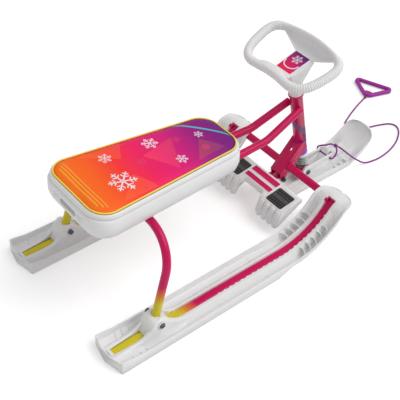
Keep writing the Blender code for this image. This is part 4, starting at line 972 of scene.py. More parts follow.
LEVEL_RUN = 0.572
RISE_RADIUS, RISE_ANGLE = 0.2125, radians(55)
FOLD_RADIUS, FOLD_ANGLE = 0.0205, radians(50)
FOLD = LEVEL_RUN + RISE_RADIUS * RISE_ANGLE
FOLD_END = FOLD + FOLD_RADIUS * FOLD_ANGLE
REAR_SOLE = Sole(-0.547, [(LEVEL_RUN, 0.0), (RISE_RADIUS * RISE_ANGLE, RISE_ANGLE),
                          (FOLD_RADIUS * FOLD_ANGLE, -FOLD_ANGLE), (0.0275, 0.0)])
TIP_RADIUS, TIP_ANGLE = 0.148, radians(66.5)
FRONT_SOLE = Sole(0.165, [(0.250, 0.0), (TIP_RADIUS * TIP_ANGLE, TIP_ANGLE)])


# Studio

@dataclass
class Studio:
    """Camera of the photograph, pale floor and soft light."""

    eye: Point = (1.30168, -1.28229, 1.75498)
    yaw: float = radians(47.9)
    pitch: float = radians(42.8)
    roll: float = radians(4.0)
    focal_px: float = 896.94
    frame_px: float = 400.0
    sensor: float = 36.0
    floor_half: float = 12.0
    floor_grey: float = 0.82
    floor_glow: float = 0.36
    sky_level: float = 0.55
    sun_strength: float = 1.52
    sun_spread: float = radians(42)
    sun_way: Point = (-0.42, -0.40, -0.82)

    def camera(self) -> None:
        """Stand the camera where the photograph was taken."""
        ahead = Vector((-sin(self.yaw) * cos(self.pitch),
                        cos(self.yaw) * cos(self.pitch), -sin(self.pitch)))
        right = Vector((cos(self.yaw), sin(self.yaw), 0))
        up = right.cross(ahead)
        turned_right = right * cos(self.roll) + up * sin(self.roll)
        turned_up = up * cos(self.roll) - right * sin(self.roll)
        data = bpy.data.cameras.new("camera")
        data.sensor_width = self.sensor
        data.lens = self.focal_px / self.frame_px * self.sensor
        data.clip_end = 50.0
        item = added("camera", data)
        rows = Matrix((turned_right, turned_up, -ahead)).transposed()
        item.matrix_world = Matrix.Translation(self.eye) @ rows.to_4x4()
        bpy.context.scene.camera = item

    def seen(self, sheet: Sheet) -> Socket:
        """Share that is one for rays that show the background.

        Args:
            sheet: Node tree of the floor.

        Returns:
            Socket of the share.
        """
        light = sheet.node("LightPath")
        total = light.outputs["Is Camera Ray"]
        for ray in ("Is Glossy Ray", "Is Transmission Ray"):
            total = sheet.reckon("Math", "ADD", total, light.outputs[ray]).outputs[0]
        return total

    def floor(self) -> None:
        """Pale floor that keeps the object's shadow."""
        build = bmesh.new()
        bmesh.ops.create_grid(build, x_segments=4, y_segments=4, size=self.floor_half)
        bmesh.ops.translate(build, verts=build.verts, vec=(0, 0, FLOOR_Z))
        sheet = Sheet("pale_floor")
        sheet.fill(sheet.shader, Base_Color=(*(self.floor_grey,) * 3, 1.0), Roughness=0.9,
                   Specular_IOR_Level=0.0, Emission_Color=(1.0, 1.0, 1.0, 1.0))
        glow = sheet.reckon("Math", "MULTIPLY", self.seen(sheet), self.floor_glow)
        sheet.link(glow.outputs[0], sheet.shader.inputs["Emission Strength"])
        mesh = baked("floor", build)
        mesh.materials.append(sheet.material)
        added("floor", mesh)

    def light(self) -> None:
        """Even sky and one wide soft lamp from above."""
        world = bpy.data.worlds.new("sky")
        bpy.context.scene.world = world
        world.use_nodes = True
        tree = world.node_tree
        sky = tree.nodes["Background"]
        sky.inputs["Color"].default_value = (1.0, 1.0, 1.0, 1.0)
        path = tree.nodes.new("ShaderNodeLightPath")
        level = tree.nodes.new("ShaderNodeMapRange")
        level.inputs["To Min"].default_value = self.sky_level
        level.inputs["To Max"].default_value = 1.0
        tree.links.new(path.outputs["Is Camera Ray"], level.inputs["Value"])
        tree.links.new(level.outputs["Result"], sky.inputs["Strength"])
        lamp = bpy.data.lights.new("soft_sun", "SUN")
        lamp.energy = self.sun_strength
        lamp.angle = self.sun_spread
        item = added("soft_sun", lamp)
        item.rotation_euler = Vector(self.sun_way).to_track_quat("-Z", "Y").to_euler()

    def build(self) -> None:
        """Set up the view."""
        self.camera()
        self.floor()
        self.light()
        bpy.context.scene.view_settings.view_transform = "Standard"


# Tubes

@dataclass
class TubeFrame:
    """Main tubes, flat ski tubes, cross bar, welds and folded steel."""

    radius: float = 0.0108
    sides: int = 32
    neck: Point = (0.0225, 0.2150, 0.3058)
    drop: Point = (0.0320, 0.0890, 0.2620)
    seat_end: Point = (0.0500, -0.3450, 0.2710)
    elbow: Point = (0.1880, -0.3505, 0.2655)
    shin: Point = (0.1987, -0.4060, 0.0540)
    foot_z: float = 0.0225
    bends: tuple[float, ...] = (0, 0.070, 0.044, 0.098, 0)
    flat_half: float = 0.0132
    flat_depth: float = 0.00715
    flat_up: float = 0.01215
    bar_ends: tuple[float, ...] = (-0.1862, -0.1855, -0.06, 0.06, 0.1855, 0.1862)
    head_radius: float = 0.0180
    weld_radius: float = 0.0013

    def main_tube(self, side: Side) -> None:
        """Bent tube from the head tube to a ski.

        Args:
            side: Side of the tube.
        """
        elbow = Vector(self.elbow)
        run = (Vector(self.shin) - elbow).normalized()
        foot = elbow + run * (self.foot_z - elbow.z) / run.z
        corners = [(x * side.value, y, z)
                   for x, y, z in (self.neck, self.drop, self.seat_end, elbow, foot)]
        name = f"main_tube_{side.label}"
        tube = pipe(name, filleted(corners, self.bends, 22), self.radius, self.sides)
        stand_in(name, tube, LEG_PAINT)

    def ski_tube(self, side: Side) -> None:
        """Flat tube that lies in a rear ski's well.

        Args:
            side: Side of the ski.
        """
        reach = FOLD + 0.0094 - LEVEL_RUN
        stations = [0.0120, 0.0135, 0.30, LEVEL_RUN]
        stations += [LEVEL_RUN + reach * (i + 1) / 24 for i in range(24)]
        profile = flat_oval(self.flat_half, self.flat_depth)
        rings = [[REAR_SOLE.place(along, x + side.value * SKI_TRACK, self.flat_up + up)
                  for x, up in profile] for along in stations]
        name = f"ski_tube_{side.label}"
        stand_in(name, loft(name, rings), SKI_TUBE_PAINT)

    def cross_bar(self) -> None:
        """Flat bar between the skis, turned by an eighth."""
        turn = radians(45)
        rings = [[Vector((x, 0.2045 - (wide + deep) * cos(turn),
                          0.1065 + (deep - wide) * sin(turn)))
                  for wide, deep in flat_oval(0.0112, 0.0076)] for x in self.bar_ends]
        stand_in("cross_bar", loft("cross_bar", rings), PINK)

    def weld(self, side: Side, build: Build) -> None:
        """Weld bead where a main tube meets the head tube.

        Args:
            side: Side of the tube.
            build: Mesh that takes the bead.
        """
        start, drop = (Vector((x * side.value, y, z)) for x, y, z in (self.neck, self.drop))
        run = (drop - start).normalized()
        first = run.orthogonal().normalized()
        second = run.cross(first)
        inward = STEER.inverted()
        line = []
        for a in around(72):
            base = start + self.radius * (first * cos(a) + second * sin(a))
            p, q = inward @ base, inward.to_3x3() @ run
            flat = q.x**2 + q.y**2
            half = p.x * q.x + p.y * q.y
            inside = half**2 - flat * (p.x**2 + p.y**2 - self.head_radius**2)
            if inside > 0:
                line.append(base + run * max(0.0, (-half + sqrt(inside)) / flat))
        gaps = [(line[i] - line[i - 1]).length for i in range(len(line))]
        cut = gaps.index(max(gaps))
        line = line[cut:] + line[:cut]
        build.from_mesh(pipe("weld", line, self.weld_radius, 8))

    def welds(self) -> None:
        """Both weld beads as one piece."""
        build = bmesh.new()
        for side in Side:
            self.weld(side, build)
        settle("weld_seams", baked("weld_seams", build), PINK, sharp=60.0)

    def build(self) -> None:
        """Make all tubes and the folded steel."""
        for side in Side:
            self.main_tube(side)
            self.ski_tube(side)
        self.cross_bar()
        self.welds()
        soften("head_gusset", PINK, Body.CHASSIS, 0.0006)
        soften("brake_frame", PINK, Body.BRAKE, 0.0005)
        for name in ("front", "rear"):
            soften(f"seat_strap_{name}", PINK, Body.CHASSIS, 0.0006)
            for side in Side:
                dress(f"seat_screw_{name}_{side.label}", ZINC)


# Skis

@dataclass(frozen=True)
class Tip:
    """Rounded end of a ski, skinned finely from rim to rim."""

    name: str
    sole: Sole
    track: float
    start: float
    round_length: float
    half: float
    edge: float
    lip: float
    heights: Stops
    floors: Stops
    rims: Stops
    body: Body = Body.CHASSIS
    proud: float = 0.0005

    def share(self, along: float) -> float:
        """Share of the full width that is left near the end."""
        t = (along - self.sole.length() + self.round_length) / self.round_length
        return 1.0 if t <= 0 else (1 - min(0.9985, t)**2.6) ** (1 / 2.6)

    def section(self, along: float, flank: int = 0) -> list[Vector]:
        """Section from the sole up over the rim.

        Args:
            along: Distance along the sole.
            flank: Side of one rim, or 0 for the whole width.

        Returns:
            Its points.
        """
        height, floor, rim = (between(along, stops) + self.proud
                              for stops in (self.heights, self.floors, self.rims))
        share = self.share(along)
        right = [(self.half, 0.0010), (self.edge, rim - 0.0006), (self.edge - 0.0006, rim),
                 (self.edge - 0.0032, rim), (self.edge - 0.0040, rim - 0.0006),
                 (self.edge - 0.0062, floor + 0.0016), (self.edge - 0.0090, floor)]
        if flank:
            right += [(self.edge - 0.0100, 0.0010)]
            return [self.sole.place(along, self.track + flank * (x * share + self.proud), z)
                    for x, z in right]
        right += [(self.lip + 0.0070, floor), (self.lip, height)]
        points = [(x * share + self.proud, z) for x, z in right]
        ring = points + [(-x, z) for x, z in reversed(points)]
        return [self.sole.place(along, self.track + x, z) for x, z in ring]

    def build(self) -> None:
        """Make the skin."""
        reach = self.sole.length() - 0.00001 - self.start
        rings = [self.section(self.start + reach * (1 - (1 - k / 48)**1.6)) for k in range(49)]
        settle(self.name, loft(self.name, rings), WHITE, self.body)

    def sides(self, start: float) -> None:
        """Skin the two rims a little way back from the tip.

        Args:
            start: Where they begin along the sole.
        """
        for flank in FLANKS:
            rings = [self.section(start + (self.start + 0.0020 - start) * k / 16, flank)
                     for k in range(17)]
            name = f"{self.name}_{'right' if flank > 0 else 'left'}"
            settle(name, loft(name, rings), WHITE, self.body)


@dataclass
class RearSki:
    """Moulded rear ski with its small details."""

    side: Side
    lip: float = 0.0135
    tooth_first: float = 0.3365
    tooth_pitch: float = 0.0195
    tooth_count: int = 22
    tail_ribs: tuple[float, ...] = (0.052, 0.072, 0.092)
    tail_lean: Point = (0.94, 0.34)
    step_line: float = 0.485
    flank_rear: float = -0.5435
    flank_length: float = 0.2275
    flank_foot: float = 0.0080
    flank_tops: Stops = (
        (-0.5435, 0.0212), (-0.505, 0.0216), (-0.478, 0.0228), (-0.458, 0.0275),
        (-0.440, 0.0400), (-0.424, 0.0560), (-0.408, 0.0668), (-0.390, 0.0615),
        (-0.372, 0.0440), (-0.352, 0.0290), (-0.335, 0.0232), (-0.316, 0.0190))
    flank_feet: Stops = (
        (-0.5435, 0.0240), (-0.478, 0.0272), (-0.448, 0.0390), (-0.420, 0.0490),
        (-0.395, 0.0495), (-0.365, 0.0420), (-0.316, 0.0290))
    flank_edges: Stops = (
        (-0.5435, 0.0090), (-0.500, 0.0116), (-0.455, 0.0136), (-0.316, 0.0136))
    flank_slope: Stops = (
        (0.10, 0.45), (0.32, 0.70), (0.68, 0.90))
    sill_half: float = 0.0138
    sill_tops: Stops = (
        (-0.5440, 0.0206), (-0.5385, 0.0206), (-0.5356, 0.0200), (-0.5350, 0.0188))
    mouth_line: Stops = (
        (-0.392, 0.0430), (-0.386, 0.0385), (-0.374, 0.0300), (-0.362, 0.0225),
        (-0.350, 0.0185), (-0.338, 0.0170))
    slot_half: float = 0.0128
    slot_floor: float = 0.0180
    slot_end_line: Stops = (
        (0.0086, 0.0008), (0.0089, 0.0), (0.0096, 0.0), (0.0098, 0.0004))
    tail_start: float = -0.520
    tail_length: float = 0.024
    tail_half: float = 0.0575

    @property
    def middle(self) -> float:
        """Where the ski's middle lies across the sled."""
        return self.side.value * SKI_TRACK

    def spot(self, along: float, across: float, up: float) -> Vector:
        """World point above the ski's sole."""
        return REAR_SOLE.place(along, across + self.middle, up)

    def height(self, along: float) -> float:
        """Height of the spine above the sole."""
        return between(along, [(0.562, 0.0220), (0.627, 0.0285), (FOLD, 0.0265),
                               (FOLD + 0.010, 0.0245), (FOLD + 0.024, 0.0210)])

    def teeth(self) -> None:
        """Row of small teeth on the slot's outer lip."""
        build = bmesh.new()
        for n in range(self.tooth_count):
            along = self.tooth_first + self.tooth_pitch * n
            at = self.spot(along, self.lip - 0.0002, self.height(along) - 0.0006)
            bead(build, at, REAR_SOLE.heading(along), X_AXIS, 0.0030, 0.0017, 0.0010)
        settle(f"slot_teeth_{self.side.label}", baked("teeth", build), HIGHLIGHT_WHITE)

    def ribs(self) -> None:
        """Short ribs near the tail, a step line and ridges past the slot."""
        build = bmesh.new()
        for along in self.tail_ribs:
            for flank in FLANKS:
                axis = Vector((self.tail_lean[0] * flank, self.tail_lean[1], 0))
                bead(build, self.spot(along, flank * 0.0425, 0.0072), axis,
                     Vector((-axis.y, axis.x, 0)), 0.0100, 0.0012, 0.0026)
        for flank in FLANKS:
            bead(build, self.spot(self.step_line, flank * 0.0405, 0.0070), X_AXIS,
                 REAR_SOLE.heading(self.step_line), 0.0125, 0.0016, 0.0014)
            along = FOLD + 0.013
            bead(build, self.spot(along, flank * 0.0215, 0.0208), REAR_SOLE.heading(along),
                 X_AXIS, 0.0040, 0.0015, 0.0026)
        settle(f"ski_ribs_{self.side.label}", baked("ribs", build), WHITE)

    def flank_section(self, y: float, flank: int) -> list[Vector]:
        """Section of the wall beside the leg's foot.

        Args:
            y: Where it is cut.
            flank: Side of the wall.

        Returns:
            Its points.
        """
        top, foot, edge = (curved(y, stops)
                           for stops in (self.flank_tops, self.flank_feet, self.flank_edges))
        rise = top - self.flank_foot
        outer = min(0.0272, edge + 0.0115, foot - 0.0010)
        profile = [(edge, 0.0200), (edge, top - 0.0008), (edge + 0.0008, top),
                   (edge + 0.0048, top), (outer - 0.0022, top - 0.06 * rise),
                   (outer, top - 0.22 * rise)]
        profile += [(outer + out * (foot - outer), top - down * rise)
                    for out, down in self.flank_slope]
        profile += [(foot, self.flank_foot), (foot, 0.0060), (0.0160, 0.0060), (0.0160, 0.0200)]
        return [Vector((self.middle + flank * x, y, z)) for x, z in profile]

    def flanks(self) -> None:
        """Two walls that rise from the tail to the leg bolt and fall again in front of it."""
        for flank in FLANKS:
            rings = [self.flank_section(self.flank_rear + self.flank_length * k / 60, flank)
                     for k in range(61)]
            name = f"leg_flank_{self.side.label}_{'outer' if flank > 0 else 'inner'}"
            settle(name, loft(name, rings), WHITE, sharp=50.0)

    def sill(self) -> None:
        """Small block that closes the channel behind the flat tube."""
        half = self.sill_half
        rings = [[Vector((self.middle + x, y, z)) for x, z in (
            (-half, 0.0060), (half, 0.0060), (half, top - 0.0006), (half - 0.0006, top),
            (0.0006 - half, top), (-half, top - 0.0006))] for y, top in self.sill_tops]
        name = f"tail_sill_{self.side.label}"
        settle(name, loft(name, rings), WHITE)

    def mouth(self) -> None:
        """Upturned end of the flat tube in front of the leg, and the slot's side notch."""
        rings = [[Vector((self.middle + x, y, z + up))
                  for x, up in flat_oval(self.slot_half, 0.0022)] for y, z in self.mouth_line]
        name = f"tube_mouth_{self.side.label}"
        settle(name, loft(name, rings), SKI_TUBE_PAINT)
        build = bmesh.new()
        along = FOLD + 0.0050
        bead(build, self.spot(along, -0.0122, self.height(along) - 0.0010),
             REAR_SOLE.heading(along), X_AXIS, 0.0052, 0.0046, 0.0017)
        settle(f"slot_notch_{self.side.label}", baked("notch", build), PINK)

    def slot_end(self) -> None:
        """Turned-up end of the flat tube against the slot's front wall."""
        rings = []
        for along, inset in self.slot_end_line:
            half, low = self.slot_half - inset, self.slot_floor
            high = self.height(FOLD) - 0.0004 - inset
            rings.append([self.spot(FOLD + along, x, up) for x, up in (
                (-half, low), (half, low), (half, high - 0.0020), (half - 0.0012, high - 0.0005),
                (half - 0.0030, high), (0.0030 - half, high), (0.0012 - half, high - 0.0005),
                (-half, high - 0.0020))])
        name = f"slot_end_{self.side.label}"
        settle(name, loft(name, rings), SKI_TUBE_PAINT)

    def bow_tail(self, piece: Piece) -> None:
        """Bow the ski's tail rearwards in plan.

        Args:
            piece: The ski's rounded copy.
        """
        for vertex in piece.data.vertices:
            share = ramped(-vertex.co.y, -self.tail_start, self.tail_length)
            if share > 0:
                aside = (vertex.co.x - self.middle) / self.tail_half
                vertex.co.y -= share * (0.0085 * (1 - aside**2) - 0.0025)

    def build(self) -> None:
        """Make the ski and its details."""
        ski = soften(f"rear_ski_{self.side.label}", WHITE, Body.CHASSIS, 0.0008, 28.0)
        self.bow_tail(ski)
        end = REAR_SOLE.length()
        tip = Tip(f"rear_tip_{self.side.label}", REAR_SOLE, self.middle, start=FOLD + 0.0112,
                  round_length=0.050, half=0.0465, edge=0.0555, lip=0.0160,
                  heights=((FOLD + 0.0100, 0.0245), (FOLD_END + 0.006, 0.0210), (end, 0.0148)),
                  floors=((FOLD, 0.0215), (FOLD_END, 0.0205), (end, 0.0145)),
                  rims=((FOLD, 0.0270), (FOLD_END, 0.0215), (end, 0.0160)))
        tip.build()
        tip.sides(FOLD - 0.0240)
        self.flanks()
        self.sill()
        self.mouth()
        self.slot_end()
        self.teeth()
        self.ribs()


@dataclass
class FrontSki:
    """Moulded front ski with serrated cheeks and a ribbed deck."""

    notch_first: float = 0.122
    notch_pitch: float = 0.0063
    notch_count: int = 17
    cheek: float = 0.0195
    cheek_top: float = 0.0604
    ridge_first: float = 0.297
    ridge_pitch: float = 0.0105
    ridge_count: int = 4
    deck: Stops = ((0.265, 0.0300), (0.4218, 0.0085))
    marks: Stops = ((0.240, 0.0088), (0.259, 0.0112), (0.281, 0.0138))

    def serration(self) -> None:
        """Fine notches along the tops of the cheeks."""
        build = bmesh.new()
        for flank in FLANKS:
            for n in range(self.notch_count):
                at = FRONT_SOLE.place(self.notch_first + self.notch_pitch * n,
                                      flank * self.cheek, self.cheek_top)
                bead(build, at, X_AXIS, Y_AXIS, 0.0032, 0.0018, 0.0014)
        settle("cheek_notches", baked("notches", build), HIGHLIGHT_WHITE, Body.RUNNER)

    def ridges(self) -> None:
        """Ridges on both sides of the deck and three raised marks beside a cheek."""
        build = bmesh.new()
        for flank in FLANKS:
            for n in range(self.ridge_count):
                along = self.ridge_first + self.ridge_pitch * n
                at = FRONT_SOLE.place(along, flank * 0.0170, between(along, self.deck) + 0.0006)
                bead(build, at, FRONT_SOLE.heading(along), X_AXIS, 0.0070, 0.0018, 0.0034)
        for along, up in self.marks:
            at = FRONT_SOLE.place(along, 0.0335, up)
            bead(build, at, X_AXIS, Y_AXIS, 0.0080, 0.0046, 0.0056)
        settle("deck_ridges", baked("ridges", build), WHITE, Body.RUNNER)

    def build(self) -> None:
        """Make the ski and its details."""
        soften("front_ski", WHITE, Body.RUNNER, 0.0008, 28.0)
        end = FRONT_SOLE.length()
        Tip("front_tip", FRONT_SOLE, 0.0, start=0.2960, round_length=0.040, half=0.0455,
            edge=0.0515, lip=0.0225, heights=((0.265, 0.0300), (end, 0.0085)),
            floors=((0.290, 0.0125), (0.345, 0.0205), (end, 0.0082)),
            rims=((0.295, 0.0250), (0.345, 0.0236), (end, 0.0110)), body=Body.RUNNER).build()
        self.serration()
        self.ridges()


# Seat

@dataclass
class Seat:
    """Shell, tray, padded cushion, piping and print."""

    rear: float = -0.5000
    front: float = -0.0410
    rear_half: float = 0.1135
    front_half: float = 0.0735
    rear_round: float = 0.045
    front_round: float = 0.050
    level: float = 0.3733
    fall: float = 0.0707
    swell: float = 0.0035
    brim: float = -0.0035
    crown: float = 0.0040
    voxel: float = 0.0045
    frames: int = 20
    back: float = -0.513
    slot_height: float = -0.0425
    facets: tuple[Outline, ...] = (
        ((-0.090, -0.430), (-0.030, -0.340), (-0.094, -0.300)),
        ((0.096, -0.420), (0.092, -0.320), (0.030, -0.350)),
        ((-0.012, -0.290), (0.072, -0.240), (-0.036, -0.185)),
        ((0.070, -0.180), (0.060, -0.090), (0.004, -0.130)))
    stripes: tuple[tuple[float, float, float], ...] = (
        (-0.4830, 0.078, 0.0034), (-0.4740, 0.088, 0.0030), (-0.4650, 0.094, 0.0026))
    stripe_bow: float = 0.001
    line: Outline = ((-0.080, -0.142), (-0.078, -0.149), (0.030, -0.049), (0.022, -0.049))
    white_flakes: tuple[tuple[tuple[float, float], float, float], ...] = (
        ((0.040, -0.385), 0.036, 0.25), ((-0.052, -0.372), 0.018, 0.5),
        ((-0.044, -0.245), 0.022, 0.1), ((0.046, -0.215), 0.016, 0.0),
        ((-0.010, -0.118), 0.013, 0.4))
    rose_flakes: tuple[tuple[tuple[float, float], float, float], ...] = (
        ((0.004, -0.306), 0.014, 0.1), ((-0.022, -0.180), 0.011, 0.6),
        ((0.040, -0.135), 0.012, 0.2))
    pocket_line: tuple[tuple[float, float, float], ...] = (
        (-0.5115, 0.0335, 0.0090), (-0.5000, 0.0335, 0.0090), (-0.4930, 0.0300, 0.0065),
        (-0.4925, 0.0280, 0.0050), (-0.4945, 0.0300, 0.0068), (-0.5005, 0.0350, 0.0100),
        (-0.5100, 0.0352, 0.0102))
    print_cell: float = 0.008
    print_cells: range = range(-66, 22)
    piping_radius: float = 0.0021
    piping_steps: int = 16
    tree: Optional[BVHTree] = None

    def height(self, y: float, above: float) -> float:
        """World height of a point at a height above the seat's plane."""
        return self.level - self.fall * (y - self.rear) + above

    def piping(self) -> None:
        """Yellow piping round the seat, a little outside its outline."""
        margin, steps = 0.0003, self.piping_steps
        rear_round, front_round = self.rear_round + margin, self.front_round + margin
        plan = rounded_plan((self.rear_half + margin, self.front_half + margin),
                            (self.rear - margin, self.front + margin),
                            (rear_round, rear_round, front_round, front_round), steps)
        line = [Vector((p.x, p.y, self.height(p.y, -0.0006)))
                for p in plan[steps + 1:] + plan[:steps + 1]]
        edge = pipe("piping", line, self.piping_radius, 12, closed=True)
        settle("seat_piping", edge, PIPING, sharp=60.0)

    def inflated(self, work: Piece) -> list[Vector]:
        """Blow a pad up as cloth for a few frames.

        Args:
            work: The pad.

        Returns:
            Where its points end.
        """
        cloth = work.modifiers.new("cloth", "CLOTH")
        cloth.settings.quality = 6
        cloth.settings.use_pressure = True
        cloth.settings.uniform_pressure_force = 4.0
        cloth.settings.tension_stiffness = 30.0
        cloth.settings.bending_stiffness = 2.0
        cloth.settings.effector_weights.gravity = 0.0
        cloth.point_cache.frame_start = 1
        cloth.point_cache.frame_end = self.frames
        scene = bpy.context.scene
        for frame in range(1, self.frames + 1):
            scene.frame_set(frame)
            bpy.context.view_layer.update()
        graph = bpy.context.evaluated_depsgraph_get()
        points = [v.co.copy() for v in work.evaluated_get(graph).data.vertices]
        scene.frame_set(1)
        work.modifiers.remove(cloth)
        return points

    def cushion(self) -> None:
        """Soft pad with a plump top, simulated as cloth under pressure."""
        work = added("work", bpy.data.objects["seat_cushion"].data.copy())
        step = work.modifiers.new("remesh", "REMESH")
        step.mode = "VOXEL"
        step.voxel_size = self.voxel
        mesh = frozen(work)
        pad = added("cushion_pad", mesh)
        rest = [v.co.copy() for v in mesh.vertices]
        blown = self.inflated(pad)
        for vertex, start, end in zip(mesh.vertices, rest, blown):
            share = ramped(start.z - self.height(start.y, self.brim), 0.0, self.crown)
            shift = end - start
            if shift.length > self.swell:
                shift *= self.swell / shift.length
            vertex.co = start + Vector((0, 0, max(0.0, shift.z))) * share
        finer = pad.modifiers.new("finer", "SUBSURF")
        finer.levels = 1
        finer.render_levels = 1
        result = frozen(pad)
        piece = settle("cushion_form", result, COVER, sharp=60.0)
        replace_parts(piece, "seat_cushion")
        self.tree = BVHTree.FromPolygons([v.co for v in result.vertices],
                                         [p.vertices for p in result.polygons])

    def printed(self, name: str, shapes: Sequence[Outline], finish: Finish,
                lift: float = 0.0003) -> None:
        """Thin printed shapes laid on the pad.

        Args:
            name: Piece name.
            shapes: Outlines in plan.
            finish: Their colour.
            lift: How far they stand off the cover.
        """
        build = bmesh.new()
        for shape in shapes:
            build.faces.new([build.verts.new((x, y, 0.5)) for x, y in shape])
        for axis in (X_AXIS, Y_AXIS):
            for k in self.print_cells:
                bmesh.ops.bisect_plane(
                    build, geom=build.verts[:] + build.edges[:] + build.faces[:],
                    plane_co=axis * (self.print_cell * k), plane_no=axis)
        for vertex in build.verts:
            hit = self.tree.ray_cast(vertex.co, Vector((0, 0, -1)))[0]
            vertex.co.z = (hit.z if hit else self.height(vertex.co.y, 0.0)) + lift
        for face in build.faces:
            if face.normal.z < 0:
                face.normal_flip()
        bmesh.ops.solidify(build, geom=build.faces[:], thickness=lift + 0.0003)
        settle(name, baked(name, build), finish, sharp=60.0)

    def stripe(self, y: float, half: float, width: float) -> Outline:
        """Outline of a crosswise stripe that bows towards the rear.

        Args:
            y: Where its ends lie.
            half: Half its length.
            width: Its width.

        Returns:
            Its points.
        """
        xs = [half * (k / 10 - 1) for k in range(21)]
        rear = [(x, y - self.stripe_bow * (1 - (x / half) ** 2)) for x in xs]
        return rear + [(x, low + width) for x, low in reversed(rear)]

    def artwork(self) -> None:
        """Generic winter print in the photograph's colours."""
        self.printed("print_facets", self.facets, FACET, 0.00022)
        self.printed("print_stripes", [self.stripe(*sizes) for sizes in self.stripes], STRIPE)
        self.printed("print_line", [self.line], TEAL)
        for name, flakes, finish in (("print_flakes", self.white_flakes, FLAKE),
                                     ("print_rose_flakes", self.rose_flakes, ROSE)):
            bars = [bar for flake in flakes for bar in snowflake(*flake)]
            self.printed(name, bars, finish, 0.00036)

    def pocket(self) -> None:
        """Shallow pocket behind the hand slot."""
        centre = self.height(self.back, self.slot_height)
        rings = []
        for y, half, tall in self.pocket_line:
            ring = []
            for a in around(28):
                flat = (abs(cos(a)) ** 3 + abs(sin(a)) ** 3) ** (-1 / 3)
                ring.append(Vector((half * flat * cos(a), y,
                                    centre + tall * flat * sin(a))))
            rings.append(ring)
        settle("grip_pocket", loft("grip_pocket", rings, closed=True), WHITE, sharp=50.0)

    def shell_ribs(self) -> None:
        """Three rib marks on each side of the hand slot."""
        build = bmesh.new()
        centre = self.height(self.back, self.slot_height)
        for flank in FLANKS:
            for n in range(3):
                at = (flank * (0.041 + 0.0075 * n), -0.5133, centre)
                bead(build, at, Z_AXIS, X_AXIS, 0.0075, 0.0013, 0.0012)
        settle("shell_marks", baked("marks", build), HIGHLIGHT_WHITE)

    def build(self) -> None:
        """Make the seat."""
        for node in ("seat_shell", "seat_tray"):
            soften(node, WHITE, Body.CHASSIS, 0.0010, 28.0)
        self.cushion()
        self.piping()
        self.artwork()
        self.pocket()
        self.shell_ribs()


# Steering

